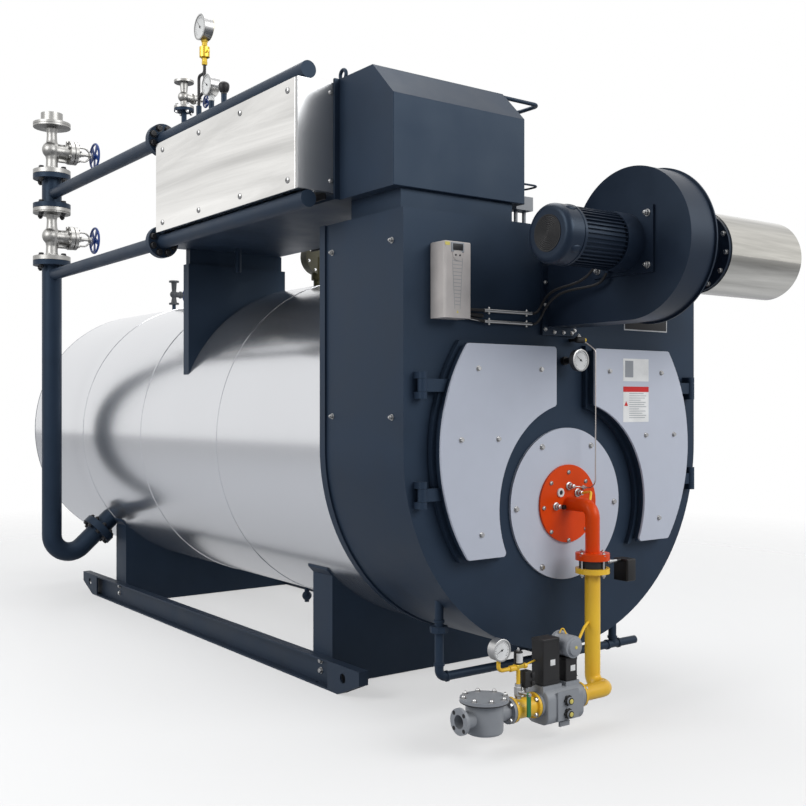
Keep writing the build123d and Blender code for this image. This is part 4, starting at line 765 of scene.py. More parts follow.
# %% Hand wheels
def hand_wheel(radius, rim, hub, depth, spoke_width, spokes=5):
    """A wheel round the X axis, centred on the origin."""
    deselect_all()
    bpy.ops.mesh.primitive_torus_add(major_segments=56, minor_segments=14, major_radius=radius * mm,
                                     minor_radius=rim * mm)
    rim_ring = bpy.context.object
    settle(rim_ring)
    top = depth / 2
    pieces = [rim_ring,
              turned([(-top, hub * 0.92), (-top + 1.5, hub), (top - 1.5, hub), (top, hub * 0.92)], 28),
              turned([(top, hub * 0.62), (top + rim, hub * 0.62), (top + rim * 1.2, hub * 0.5)], 6)]
    spoke = block(at(hub * 0.6, -spoke_width / 2, -rim * 0.45), at(radius, spoke_width / 2, rim * 0.45))
    for vertex in spoke.data.vertices:
        if vertex.co.x > radius * 0.9 * mm:
            vertex.co.y *= 1.9
    soften(spoke, rim * 0.2)
    pieces += spread(spoke, [Matrix.Rotation(step * 2 * math.pi / spokes, 4, "Z") for step in range(spokes)])
    return aimed(join(pieces), right)


large_wheel = (75, 7, 17, 26, 17)
wheel_kinds = {"upper_handwheel": large_wheel, "lower_handwheel": large_wheel,
               "vent_handwheel": (27, 4, 9, 16, 7), "shell_top_handwheel": (43, 4, 10, 16, 9)}
for wheel_name, wheel_sizes in wheel_kinds.items():
    radius, rim, hub, depth, spoke_width = wheel_sizes
    inset = rim if wheel_sizes is large_wheel else depth / 2
    middle = box_middle(wheel_name)
    wheel = moved(hand_wheel(*wheel_sizes), (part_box(wheel_name)[1][0] - inset * mm, middle.y, middle.z))
    finish(wheel, wheel_name + "_wheel", wheel_blue, wheel_name)
    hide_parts(wheel_name)
print("hand wheels:", list(wheel_kinds))

# %% [markdown]
# ## Gauges
# A pressure gauge is a deep round case with a bezel, a white dial set back behind it, tick marks and a
# needle. The case is turned like the other fittings, and the ticks are thin plates laid round three quarters
# of the dial.

# %% Gauge
def gauge(name, centre, facing, radius, depth, case_finish, reading):
    """Case, dial, ticks and needle; the dial faces along a level direction."""
    skin = 0.6
    face = depth / 2 + skin
    case = turned([(-face, radius * 0.90), (-face + 2, radius + skin), (face - 1, radius + skin),
                   (face, radius + 1.6), (face + 4, radius + 1.6), (face + 5, radius * 0.98),
                   (face + 5, radius * 0.91), (face + 0.8, radius * 0.90)], 56)
    finish(upright(case, centre, facing), name + "_case", case_finish)
    dial = turned([(face, radius * 0.90), (face + 1.4, radius * 0.90)], 56)
    finish(upright(dial, centre, facing), name + "_dial", dial_white)
    tick = block(at(-0.35, radius * 0.66, face + 1.3), at(0.35, radius * 0.82, face + 1.8))
    marks = spread(tick, [Matrix.Rotation(math.radians(135 - 270 * step / 24), 4, "Z")
                          @ Matrix.Diagonal((1.0 if step % 4 else 1.7, 1, 1, 1)) for step in range(25)])
    needle = block(at(-0.9, -radius * 0.22, face + 2.4), at(0.9, radius * 0.70, face + 3.0))
    for vertex in needle.data.vertices:
        if vertex.co.y > 0:
            vertex.co.x *= 0.35
    needle.data.transform(Matrix.Rotation(math.radians(135 - 270 * reading), 4, "Z"))
    pin = turned([(face + 1.3, radius * 0.09), (face + 3.6, radius * 0.09), (face + 4.2, radius * 0.06)], 20)
    finish(upright(join(marks + [needle, pin]), centre, facing), name + "_marks", ink_black)


# %% [markdown]
# ## Fittings on the upper header
# From the camera the header carries a small globe valve, a siphon with a yellow cock and a gauge, a second
# gauge on a white nut, and a black air vent. The siphon is a bent tube, and the rest is turned.

# %% Small globe valve
def small_globe_valve(name, node, flange_radius, low, high, middle, stem_reach, casting_finish):
    """A small flanged valve on a place. Its end faces low and high are counted from the stem's height."""
    flange, neck = 12, 15
    casting = melted([ball(24, at(-4, 0, 1), 28, 16),
                      turned([(low + flange * 0.7, neck * 1.4), (-22, neck), (22, neck),
                              (high - flange * 0.7, neck * 1.3)], 28),
                      aimed(turned([(0, 20), (34, 19), (42, 25), (54, 25)], 28), right)], 1.8, 4)
    pieces = [casting]
    for face in (low, high - flange):
        pieces.append(turned([(face, flange_radius - 1), (face + 1, flange_radius),
                              (face + flange - 1, flange_radius), (face + flange, flange_radius - 1)], 44))
    pieces.append(aimed(turned([(50, 6), (stem_reach, 6)], 16), right))
    for side in (1, -1):
        yoke = [at(50, 0, side * 17), at(62, 0, side * 19), at(stem_reach - 3, 0, side * 8)]
        pieces.append(tube(yoke, 2.8, 10, 4))
    valve = finish(moved(join(pieces), middle), name, casting_finish)
    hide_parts(node)
    print(name, len(valve.data.polygons), "faces")


# %% Vent valve, siphon, cock and gauges
vent_low, vent_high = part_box("vent_valve")
vent_stem_z = 2.622
vent_y = box_middle("vent_valve").y
small_globe_valve("vent_valve_casting", "vent_valve", 45, (vent_low[2] - vent_stem_z) / mm,
                  (vent_high[2] - vent_stem_z) / mm, (riser_x, vent_y, vent_stem_z),
                  (vent_high[0] - riser_x) / mm, valve_silver)
vent_joint = (riser_x, vent_y, vent_low[2])
fasten("vent_valve_bolts", hex_bolt(13, 7), ring_places(vent_joint, up, 35, 4, math.pi / 4, 12), zinc_steel)
fasten("vent_valve_nuts", nut_on_stud(13, 7, 4, 4), ring_places(vent_joint, down, 35, 4, math.pi / 4, 12),
       zinc_steel)

fitting_x, siphon_y, cock_y, siphon_top = -955, 1328, 1271, 2680
tube_piece("siphon_pipe", black_iron,
           [(fitting_x, siphon_y, 2540), (fitting_x, siphon_y, siphon_top), (fitting_x, cock_y, siphon_top),
            (fitting_x, cock_y, 2722)], 6.8, 16, 5)
tube_piece("siphon_return", black_iron,
           [(fitting_x, siphon_y, 2575), (fitting_x, siphon_y - 14, 2588), (fitting_x, cock_y + 2, 2600),
            (fitting_x, cock_y, 2650), (fitting_x, cock_y, 2690)], 6.8, 16, 5)
cock = join([turned([(0, 11.8), (12, 13), (14, 11.8), (30, 12)], 6),
             turned([(28, 12), (34, 22.6), (78, 22.6), (84, 12.5)], 28),
             turned([(84, 12), (100, 12), (101, 15), (112, 15)], 6)])
finish(moved(cock, spot(fitting_x, cock_y, 2715)), "gauge_cock_body", yellow_brass)
cock_plug = join([aimed(turned([(-26, 9), (26, 9), (28, 7)], 6), ahead),
                  block(at(-3, -40, -4), at(3, -24, 4), 1)])
finish(moved(cock_plug, spot(fitting_x, cock_y, 2771)), "gauge_cock_plug", yellow_brass)
gauge("stand_gauge", spot(fitting_x, cock_y, 2879), left, 55, 40, zinc_steel, 0.35)
gauge("second_gauge", spot(fitting_x, 1203, 2608), left, 45, 40, zinc_steel, 0.3)
white_nut = join([turned([(0, 14), (8, 14)], 6), turned([(8, 11.6), (12, 11.6)], 24),
                  turned([(12, 14), (24, 14)], 6)])
finish(aimed(white_nut, up, spot(fitting_x, 1203, 2541)), "second_gauge_nut", dial_white)
turned_piece("air_vent_cap", coil_black, [(0, 12.6), (8, 12.6), (10, 17), (20, 22), (30, 23.6), (40, 23.6),
                                          (48, 20), (54, 10), (56, 3)], 36, (fitting_x, 1083, 2541), up)
print("header fittings done")

# %% [markdown]
# ## Economizer
# The bright covers on both sides are held by low screws in two rows, and a black strip runs below them
# as painted shadow: it stands for the shadow in the gap under each cover. A flat end cap fills the step
# between each cover and the hood's flange, with two small screws in it.

# %% Screws, end caps and painted shadow strips on the covers
for cover_name, side in (("left_coil_cover", left), ("right_coil_cover", right)):
    (low_x, low_y, low_z), (high_x, high_y, high_z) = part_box(cover_name)
    outer_x, inner_x = (low_x, high_x) if side is left else (high_x, low_x)
    places = []
    for row_z in (high_z - 40 * mm, low_z + 40 * mm):
        places += line_places((outer_x, low_y + 54 * mm, row_z), (outer_x, high_y - 75 * mm, row_z), 4, side)
    fasten(cover_name + "_screws", round_screw(13, 6), places, zinc_steel)
    end_x, cap_y, strip_x = inner_x + side.x * 34 * mm, low_y - 18 * mm, inner_x + side.x * 30 * mm
    fasten(cover_name + "_end_screws", round_screw(9, 5),
           [(Vector((end_x, y, z)), way) for y, way in ((cap_y, ahead), (high_y, behind))
            for z in (high_z - 40 * mm, low_z + 42 * mm)], zinc_steel)
    end_cap = block((low_x + 2 * mm, cap_y, low_z + 1 * mm),
                    (high_x - 2 * mm, low_y + 4 * mm, high_z - 1 * mm))
    finish(end_cap, cover_name + "_end_cap", cover_end_sheet)
    # Painted shadow: a black strip along the cover's lower edge stands for the shadow in the gap under it.
    strip = block((strip_x, low_y + 20 * mm, low_z - 20 * mm),
                  (strip_x + side.x * 6 * mm, high_y - 20 * mm, low_z + 1 * mm), 1)
    finish(strip, cover_name + "_painted_shadow_gap", black_iron)
print("covers fastened")

# %% [markdown]
# ## Shell
# The bright cladding is wrapped round the insulation in sheets. Where two sheets lap there is a thin round
# seam with a small bead and a row of small rivets along it. Each seam is a thin turned ring. The rear
# plate's bolts and the valve on top of the shell are set here too.

# %% Seams on the cladding
shell_middle = box_middle("shell_casing")
shell_radius = (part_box("shell_casing")[1][0] - shell_middle.x) / mm
seams, rivets = [], []
for seam_y in (1481, 2382, 3263):
    seam = turned([(-4, shell_radius - 3), (-3, shell_radius + 1.6), (0, shell_radius + 2.2),
                   (0.6, shell_radius + 0.9), (14, shell_radius + 0.7), (15, shell_radius - 3)], 200)
    seams.append(aimed(seam, behind, (shell_middle.x, front_y + seam_y * mm, shell_axis_z)))
    rivet_centre = Vector((0, front_y + (seam_y + 6) * mm, shell_axis_z))
    rivets += [(place, (place - rivet_centre).normalized())
               for place, way in ring_places(rivet_centre, behind, shell_radius + 0.6, 36)]
finish(join(seams), "cladding_seams", shell_sheet)
fasten("cladding_rivets", turned([(-1, 4), (0.6, 4), (1.6, 2.4)], 10), rivets, shell_sheet)
rear_face = (0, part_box("rear_end_plate")[1][1], shell_axis_z)
fasten("rear_plate_bolts", hex_bolt(24, 12), ring_places(rear_face, behind, shell_radius - 52, 24),
       black_iron)

# %% Valve on the shell and the port's bolts
top_valve_low, top_valve_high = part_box("shell_top_valve")
top_stem_z, stub_top = 1.962, 1.893
top_valve_y = box_middle("shell_top_valve").y
small_globe_valve("shell_top_valve_casting", "shell_top_valve", 34, (stub_top - top_stem_z) / mm,
                  (top_valve_high[2] - top_stem_z) / mm, (0, top_valve_y, top_stem_z),
                  top_valve_high[0] / mm, valve_iron)
stub_low = top_valve_low[2] - 5 * mm
top_stub = turned([(0, 12.5), ((stub_top - stub_low) / mm, 12.5)], 28)
finish(aimed(top_stub, up, (0, top_valve_y, stub_low)), "shell_top_stub", navy_paint)
port_middle = Vector((0, box_middle("shell_port").y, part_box("shell_port")[1][2] - 92 * mm))
fasten("port_bolts", hex_bolt(11, 6, 1), ring_places(port_middle, ahead, 78, 8, 0.3, 30), zinc_steel)
print("shell radius", round(shell_radius, 1))

# %% [markdown]
# ## Skid and saddles
# The skid's channels lie on the floor; the saddle plates are welded in between. The visible fastenings are
# pairs of bolts where the saddles meet the channels.

# %% Skid fastenings
for side, beam_name in ((left, "left_skid_beam"), (right, "right_skid_beam")):
    beam_low, beam_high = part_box(beam_name)
    web_x = (beam_high[0] if side is left else beam_low[0]) + side.x * 8 * mm
    places = [(Vector((web_x, front_y + y * mm, z * mm)), side) for y in (911, 3239) for z in (57, 100)]
    fasten(beam_name + "_bolts", hex_bolt(20, 10), places, zinc_steel)
print("skid done")

# %% [markdown]
# ## Smoke box, doors and plates
# The doors carry thin light panels on a few small bolts, and the burner plate is held by six bolts. The two
# labels of the right panel carry plain blocks and lines only, and the plate beside the fan is bare. Rings of
# bolts on upright faces are laid out by angle from the right-hand side, so they land where the photograph
# shows them.

# %% Door panels, burner plate and box bolts
def front_ring(x, y, z, radius, count, start=0.0):
    """Places round a line along Y, facing the front."""
    turns = [start + step * 2 * math.pi / count for step in range(count)]
    return [(spot(x + radius * math.cos(turn), y, z + radius * math.sin(turn)), ahead) for turn in turns]


def side_ring(x, y, z, radius, count, start, facing):
    """Places round a line along X, facing left or right."""
    turns = [start + step * 2 * math.pi / count for step in range(count)]
    return [(spot(x, y + radius * math.cos(turn), z + radius * math.sin(turn)), facing) for turn in turns]


panel_y, plate_y, head_y = -63, -11, -20
door_screws = [(505, 1348), (190, 1350), (586, 1088), (408, 1088), (490, 738)]
for door_name, side in (("left_door", -1), ("right_door", 1)):
    places = [(spot(side * x, panel_y, z), ahead) for x, z in door_screws]
    fasten(door_name + "_panel_bolts", hex_bolt(15, 8, 1.2), places, zinc_steel, door_name)
for label, ink, low_x, low_z, high_x, high_z, lift in (
        ("upper_blank_label", dial_white, 270, 1311, 425, 1404, 0),
        ("lower_blank_label", dial_white, 270, 1143, 425, 1289, 0),
        ("lower_label_band", label_red, 270, 1267, 425, 1289, 0.5),
        ("upper_label_patch", casting_grey, 281, 1327, 330, 1395, 0.5)):
    thickness = 0.6 if lift else 0.8
    block_piece(label, ink, (low_x, panel_y - lift, low_z), (high_x, panel_y - lift - thickness, high_z),
                body="right_door")
lines = [block(spot(306, panel_y - 0.5, z), spot(306 + width, panel_y - 1.0, z + 2.2))
         for z, width in zip(range(1160, 1262, 9), (96, 104, 80, 100, 60, 104, 92, 100, 70, 96, 104, 88))]
finish(join(lines), "lower_label_plain_rows", casting_grey, "right_door")
caution = turned([(0, 13), (1.1, 13)], 3)
upright(caution, spot(287, panel_y, 1216), ahead)
finish(caution, "lower_label_plain_triangle", label_red, "right_door")
fasten("burner_plate_bolts", hex_bolt(17, 8, 1.4), front_ring(0, plate_y, 815, 271, 6), zinc_steel)
fasten("burner_flange_bolts", round_screw(9, 7), front_ring(0, head_y, 812, 135, 8), zinc_steel)

box_side_bolts = [(y, z) for y in (69, 465) for z in (1806, 1170)]
for side_name, side, facing in (("left", -800, left), ("right", 800, right)):
    fasten("smoke_box_%s_bolts" % side_name, nut_on_stud(16, 9, 5, 6),
           [(spot(side, y, z), facing) for y, z in box_side_bolts], zinc_steel)
block_piece("blank_plate_border", dial_white, (345, -1.2, 1526), (617, 0.3, 1591), 0.5)
block_piece("blank_plate", ink_black, (350, -1.8, 1531), (612, 0, 1586), 0.3)
print("door and plate bolts done")

# %% [markdown]
# ## Burner head
# Between the bolts of the orange flange are a sight glass with a dark pane and four plated fittings. A thin
# sensor tube comes down to them from a plug below the fan, and a yellow pilot line runs to the elbow.

# %% Fittings on the burner head
def plated_fitting(name, x, z, size, reach):
    """A flange nut, a hexagon and a short spigot, standing on the burner flange."""
    pieces = [turned([(0, size), (4, size), (5, size * 0.9)], 28),
              turned([(4, size * 0.78), (reach * 0.55, size * 0.78), (reach * 0.6, size * 0.7)], 6),
              turned([(reach * 0.55, size * 0.52), (reach, size * 0.52), (reach + 1, size * 0.42)], 24)]
    finish(aimed(join(pieces), ahead, spot(x, head_y, z)), name, zinc_steel)


plated_fitting("ignition_fitting", 1, 892, 16, 30)
plated_fitting("pilot_fitting", 49, 863, 17, 28)
plated_fitting("flame_probe_fitting", -70, 815, 16, 24)
plated_fitting("sensor_fitting", 82, 883, 9, 16)
turned_piece("sight_glass_ring", dial_white, [(0, 18), (5, 18), (7, 16), (7, 10), (3, 8.5)], 36,
             (-46, head_y, 868), ahead)
turned_piece("sight_glass_pane", ink_black, [(0, 9.5), (4, 9.5)], 28, (-46, head_y, 868), ahead)
turned_piece("probe_cap", coil_black, [(0, 9), (12, 9), (14, 7)], 24, (-31, head_y, 810), ahead)
tube_piece("ignition_link", tinned_tube, [(1, -44, 892), (30, -52, 890), (58, -46, 884), (82, -34, 883)],
           2.2, 12, 4)
tube_piece("sensor_tube", tinned_tube, [(52, -60, 1462), (60, -76, 1450), (75, -94, 1430), (75, -94, 905),
                                        (84, -60, 884), (82, -36, 883)], 2.6, 26, 4)
tube_piece("pilot_gas_line", gas_yellow, [(49, -46, 863), (52, -70, 868), (40, -104, 872), (8, -128, 842)],
           5, 20, 5)

damper_x, damper_y = 0, -149
damper_studs = [place for place, way in ring_places(spot(damper_x, damper_y, 0), up, 58, 4, math.pi / 4)]
fasten("damper_stud_nuts", nut_on_stud(13, 8, 4, 5),
       [(place + at(0, 0, z), way) for z, way in ((635, up), (564, down)) for place in damper_studs],
       zinc_steel)
fasten("damper_studs", turned([(0, 4), (33, 4)], 14), [(place + at(0, 0, 583), up) for place in damper_studs],
       zinc_steel)
for height in (586, 613):
    turned_piece("damper_ring_edge_%d" % height, coil_black, [(-1.2, 52), (-1, 53), (1, 53), (1.2, 52)], 48,
                 (damper_x, damper_y, height), up)
turned_piece("damper_coupling", zinc_steel, [(0, 7.5), (6, 7.5), (6.5, 9.5), (20, 9.5), (20.5, 7), (52, 7)],
             24, (80, damper_y, 599.5), right)
actuator_low, actuator_high = (Vector(corner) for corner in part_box("damper_actuator"))
lid_corner = Vector((actuator_high.x, actuator_low.y, actuator_high.z))
finish(block(actuator_low + at(3, -3, 3), lid_corner + at(-3, 1, -3), 1.2), "actuator_lid", coil_black)
seam_corner = Vector((actuator_low.x, actuator_low.y, actuator_high.z))
finish(block(seam_corner + at(-0.6, -0.6, -16), actuator_high + at(0.6, 0.6, -14)), "actuator_seam",
       ink_black)

gauge("flue_thermometer", spot(-8, -82, 1389), ahead, 42, 20, zinc_steel, 0.3)
turned_piece("thermometer_stem", coil_black, [(0, 17), (14, 17), (15, 12), (70, 12)], 28, (-8, 0, 1389),
             ahead)
plug = join([turned([(0, 9), (4, 12), (40, 13), (42, 12)], 28), turned([(40, 10), (46, 10)], 28)])
finish(aimed(plug, right, spot(12, -46, 1472)), "pressure_plug", coil_black)
turned_piece("pressure_plug_tip", yellow_brass, [(44, 9), (54, 9), (56, 7)], 24, (12, -46, 1472), right)
block_piece("pressure_plug_bracket", coil_black, (22, -50, 1466), (38, 1, 1478), 1)
finish(aimed(dome_nut(14, 12), up, spot(30, -46, 1484)), "pressure_plug_nut", zinc_steel)
print("burner fittings done")

# %% [markdown]
# ## Gas train
# The gas comes in through a filter with domed nuts on its lid, passes a ball valve and a double solenoid
# valve block, and turns up to the burner. The small line above it holds a gauge, a small test valve and a
# switch in several colours, so it is built here in pieces and takes the place of the single CAD node.

# %% Gauge line, cock and switches
train_y, train_z = -229, 137
line_x, line_z = -462, 283
gas_line = [tube([spot(line_x, train_y, 222), spot(line_x, train_y, line_z), spot(-555, train_y, line_z),
                  spot(-555, train_y, 330)], 7.2, 17, 6),
            aimed(turned([(-16, 10), (-14, 11), (14, 11), (16, 10)], 28), left, spot(-488, train_y, line_z)),
            tube([spot(line_x, train_y, line_z), spot(-430, train_y, line_z + 2),
                  spot(-398, train_y + 8, line_z + 6), spot(-368, train_y + 14, line_z + 8)], 3.2, 12, 4),
            aimed(turned([(0, 10), (12, 10)], 6), right, spot(-436, train_y, line_z + 1))]
gas_line = finish(join(gas_line), "gauge_line_pipe", gas_yellow)
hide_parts("gauge_line")
cock_shell = join([turned([(0, 12), (9, 12), (12, 15), (42, 15), (45, 12), (54, 12)], 6),
                   aimed(turned([(0, 9), (26, 9), (27, 6), (51, 6)], 20), ahead, at(0, 0, 26))])
finish(moved(cock_shell, spot(line_x, train_y, 171)), "test_cock", zinc_steel)
gauge("gas_gauge", spot(-555, train_y, 359), ahead, 38, 32, zinc_steel, 0.08)
block_piece("test_valve_base", yellow_brass, (line_x - 15, train_y - 12, line_z - 3),
            (line_x + 19, train_y + 12, line_z + 12), 1.5)
turned_piece("test_valve_coil", coil_black, [(0, 15), (1, 16), (44, 16), (47, 13)], 32,
             (line_x, train_y, line_z + 12), up)
turned_piece("test_valve_tip", zinc_steel, [(0, 6), (6, 6), (7, 4), (12, 3)], 20,
             (line_x, train_y, line_z + 58), up)
coil_label = turned([(0, 16.4), (34, 16.4)], 32)
pick(coil_label)
bpy.ops.object.mode_set(mode="EDIT")
bpy.ops.mesh.select_all(action="SELECT")
bpy.ops.mesh.bisect(plane_co=(0, -7 * mm, 0), plane_no=(0, 1, 0), clear_outer=True, use_fill=True)
bpy.ops.object.mode_set(mode="OBJECT")
finish(aimed(coil_label, up, spot(line_x, train_y, line_z + 18)), "test_valve_blank_label", dial_white)
switch_x = -426
switch_body = block(spot(switch_x - 17.5, train_y - 17.5, 208.6),
                    spot(switch_x + 17.5, train_y + 17.5, 266.5), 2.5)
switch_plugs = [block(spot(switch_x + 10, train_y - 24, z), spot(switch_x + 25, train_y - 4, z + 17), 2)
                for z in (214, 243)]
finish(join([switch_body] + switch_plugs), "gas_pressure_switch", coil_black)
turned_piece("switch_stem", casting_grey, [(0, 10), (14, 10), (15, 7.4), (40, 7.4)], 6,
             (switch_x, train_y, 209), down)
print("gauge line done")

# %% Valve block, regulator and filter
for coil_name, low, high in (("tall", (-369, -260, 205), (-287, -198, 372)),
                             ("short", (-255, -260, 205), (-197, -198, 290))):
    low, high = Vector(low), Vector(high)
    block_piece(coil_name + "_coil_seam", ink_black, (low.x - 0.7, low.y - 0.7, low.z + 14),
                (high.x + 0.7, high.y + 0.7, low.z + 16))
    block_piece(coil_name + "_coil_lid", coil_black, (low.x - 0.6, low.y - 0.6, high.z - 12),
                (high.x + 0.6, high.y + 0.6, high.z + 0.6), 3)
    middle = (low.x + high.x) / 2 + 6
    label_z = low.z + (high.z - low.z) * 0.42
    block_piece(coil_name + "_coil_blank_label", dial_white, (middle - 12, low.y - 0.8, label_z),
                (middle + 12, low.y, label_z + 21), 0.3)
knobs, knob_caps = [], []
for knob_z in (150, 103):
    grip = [turned([(0, 14.6), (18, 14.6), (20, 12.5), (26, 12.5)], 32)]
    for turn in range(3):
        wing = block(at(-19, -5, 2), at(19, 5, 15), 2)
        wing.data.transform(Matrix.Rotation(turn * math.pi / 3, 4, "Z"))
        grip.append(wing)
    knobs.append(aimed(join(grip), ahead, spot(-280, -286.5, knob_z)))
    knob_caps.append(aimed(turned([(25, 8.5), (27.5, 8.5), (28, 7.5)], 24), ahead,
                           spot(-280, -286.5, knob_z)))
finish(join(knobs), "valve_block_knobs", coil_black)
finish(join(knob_caps), "valve_block_knob_caps", cap_yellow)
block_piece("valve_block_foot", casting_grey, (-296, -270, 50), (-246, -262, 68), 1)
turned_piece("regulator_back_casing", casting_grey,
             [(0, 44), (3, 47), (9, 47), (10, 45.5), (12, 47), (18, 47), (24, 41)], 48, (-226, -188, 332),
             ahead)
turned_piece("regulator_front_cap", casting_grey, [(0, 40.6), (20, 40.6), (24, 38), (26, 31), (33, 30),
                                                   (34, 28)], 48, (-226, -249, 330.5), ahead)
turned_piece("regulator_centre", cap_yellow, [(0, 6), (1.5, 6), (2, 5)], 20, (-226, -283, 330.5), ahead)
tube_piece("regulator_loop", gas_yellow, [(-242, -214, 374), (-233, -220, 398), (-222, -228, 370)], 2.6, 6,
           4)
tube_piece("regulator_pilot_line", gas_yellow, [(-190, -229, 318), (-168, -229, 326), (-70, -172, 366),
                                                (-24, -150, 378)], 5.5, 20, 5)

filter_x = -620
fasten("filter_cap_nuts", dome_nut(14, 12),
       ring_places(spot(filter_x, train_y, 203), up, 76, 8, math.pi / 8), zinc_steel)
turned_piece("filter_lid_joint", ink_black, [(-1, 86), (0, 86.7), (2, 86.7), (3, 86)], 64,
             (filter_x, train_y, 189), up)
filter_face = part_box("gas_filter")[0][0] / mm
# Painted shade: black discs on the filter's flange stand for the shade inside its empty bolt holes.
hole = turned([(0, 7.5), (0.5, 7.5), (0.6, 6)], 20)
fasten("filter_flange_hole_shade_discs", hole, side_ring(filter_face, train_y, train_z, 37, 4, math.pi / 4, left),
       ink_black)
train_bolts = []
for flange_x, facing in ((-493, right), (-397, left), (-517, left), (-163, left), (-373, right)):
    train_bolts += side_ring(flange_x, train_y, train_z, 37, 4, math.pi / 4, facing)
train_bolts += side_ring(-151, train_y, train_z, 37, 4, math.pi / 4, right)
fasten("gas_train_bolts", hex_bolt(14, 8, 1.2), train_bolts, zinc_steel)
for joint_x in (-505, -385, -163):
    turned_piece("gas_gasket_%d" % -joint_x, ink_black, [(-0.8, 46.5), (0.8, 46.5)], 48,
                 (joint_x, train_y, train_z), right)
lever_front_y, lever_pin_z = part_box("cock_lever")[0][1], 0.197
lever_nut = aimed(hex_bolt(10, 5, 1), ahead, (box_middle("cock_lever").x, lever_front_y, lever_pin_z))
finish(lever_nut, "cock_lever_nut", zinc_steel, "cock_lever")
print("gas train done")

# %% [markdown]
# ## Fan, motor and intake
# The motor hangs on a square plate on the fan's side. Its cowl ends in a round grille of fine rings. The
# duct flange is bolted to the smoke box, and the bright intake pipe is clamped by a ring of bolts.

# %% Fan fittings
fan_y, fan_z = -405, 1800
grille_rings = [(0, 64), (2.5, 64)]
for step in range(9):
    radius = 60 - step * 6
    grille_rings += [(2.5, radius), (1.2, radius - 1.5), (1.2, radius - 3), (2.5, radius - 4.5)]
turned_piece("cowl_grille", coil_black, grille_rings, 64, (-488.5, fan_y, fan_z), left)
turned_piece("cowl_band", fan_paint, [(0, 104), (1, 106.5), (9, 106.5), (10, 104)], 72, (-404, fan_y, fan_z),
             left)
boss = ball(1000, (0, 0, 0), 24, 12)
boss.scale = at(24, 15, 7)
settle(boss)
cowl = Matrix.Translation(spot(-438, fan_y, fan_z))
outward = Matrix.Translation(at(0, 0, -103))
bosses = spread(boss, [cowl @ Matrix.Rotation(math.radians(35 + step * 90), 4, "X") @ outward
                       for step in range(4)])
finish(join(bosses), "cowl_bosses", fan_paint)
fasten("motor_plate_bolts", nut_on_stud(18, 11, 6, 8),
       [(spot(-118, fan_y + y, fan_z + z), left) for y in (-118, 118) for z in (-92, 92)], zinc_steel)
duct_bolts = [(spot(x, -14, z), ahead) for x in (-122, 39) for z in (1510, 1605, 1693)]
duct_bolts += [(spot(x, -14, 1500), ahead) for x in (-72, -22, 24)]
fasten("duct_flange_bolts", hex_bolt(11, 6, 1), duct_bolts, zinc_steel)
fasten("intake_ring_bolts", hex_bolt(15, 8), side_ring(300, fan_y, fan_z, 138, 12, 0.1, left), zinc_steel)
print("fan fittings done")

# %% [markdown]
# ## Drive unit and motor cables
# The inverter is a light plastic case with a dark display, a keypad and a row of vent slots. Two cables
# leave it, pass through two steel tubes and hang in a loop to the glands under the motor. Each hanging cable
# is a smooth curve through its route with a round bevel, and stands in for its CAD node.

# %% Inverter front
inverter_front = -82
block_piece("display_frame", casting_grey, (-649, inverter_front - 3, 1761),
            (-590, inverter_front + 1, 1796), 4)
block_piece("display_glass", ink_black, (-643, inverter_front - 4, 1767), (-596, inverter_front, 1791), 1.5)
turned_piece("keypad", inverter_shell, [(0, 22), (2, 22), (3, 20)], 40, (-620, inverter_front, 1752), ahead)
fasten("keypad_buttons", turned([(0, 3.5), (4, 3.2)], 20),
       [(spot(x, inverter_front - 1, 1750), ahead) for x in (-630, -611)], ink_black)
# Painted shade: the vent slots are thin grey strips, darker than the case, standing for the shade inside the
# slots.
slots = []
for step in range(13):
    slot_z = 1728 - step * 13
    half_width = 22 - step * 0.9
    slots.append(block(spot(-620 - half_width, inverter_front - 0.5, slot_z),
                       spot(-620 + half_width, inverter_front, slot_z + 1.6)))
finish(join(slots), "inverter_vent_shade_strips", casting_grey)
edge_lines = [tube([spot(-620 + side * 24, inverter_front - 0.2, 1740),
                    spot(-620 + side * 12, inverter_front - 0.2, 1558)], 0.6, 1, 3) for side in (-1, 1)]
finish(join(edge_lines), "inverter_panel_lines", casting_grey)
block_piece("inverter_blank_label", cap_yellow, (-676, inverter_front - 0.6, 1783),
            (-655, inverter_front, 1795))
sign = turned([(0, 6), (0.8, 6)], 3)
upright(sign, spot(-620, inverter_front, 1547), ahead)
finish(sign, "inverter_plain_triangle", cap_yellow)

# %% Steel tubes and motor cables
stubs = [tube([spot(-554, -21, 1566), spot(-443, -21, 1566)], 5.6, 10, 6),
         tube([spot(-554, -21, 1537), spot(-500, -21, 1533), spot(-443, -21, 1525)], 5.6, 40, 6),
         tube([spot(-554, -12, 1551), spot(-443, -12, 1546)], 8, 40, 6)]
finish(join(stubs), "inverter_leads", rubber_black)
clamp_nuts = []
for clamp_x in (-418, -228):
    for low_z, high_z in ((1518, 1532), (1559, 1573)):
        clamp_nuts += [(spot(clamp_x, -21, high_z), up), (spot(clamp_x, -21, low_z), down)]
fasten("tube_clamp_nuts", turned([(-0.5, 5), (4, 5), (7, 2.5)], 12), clamp_nuts, zinc_steel)

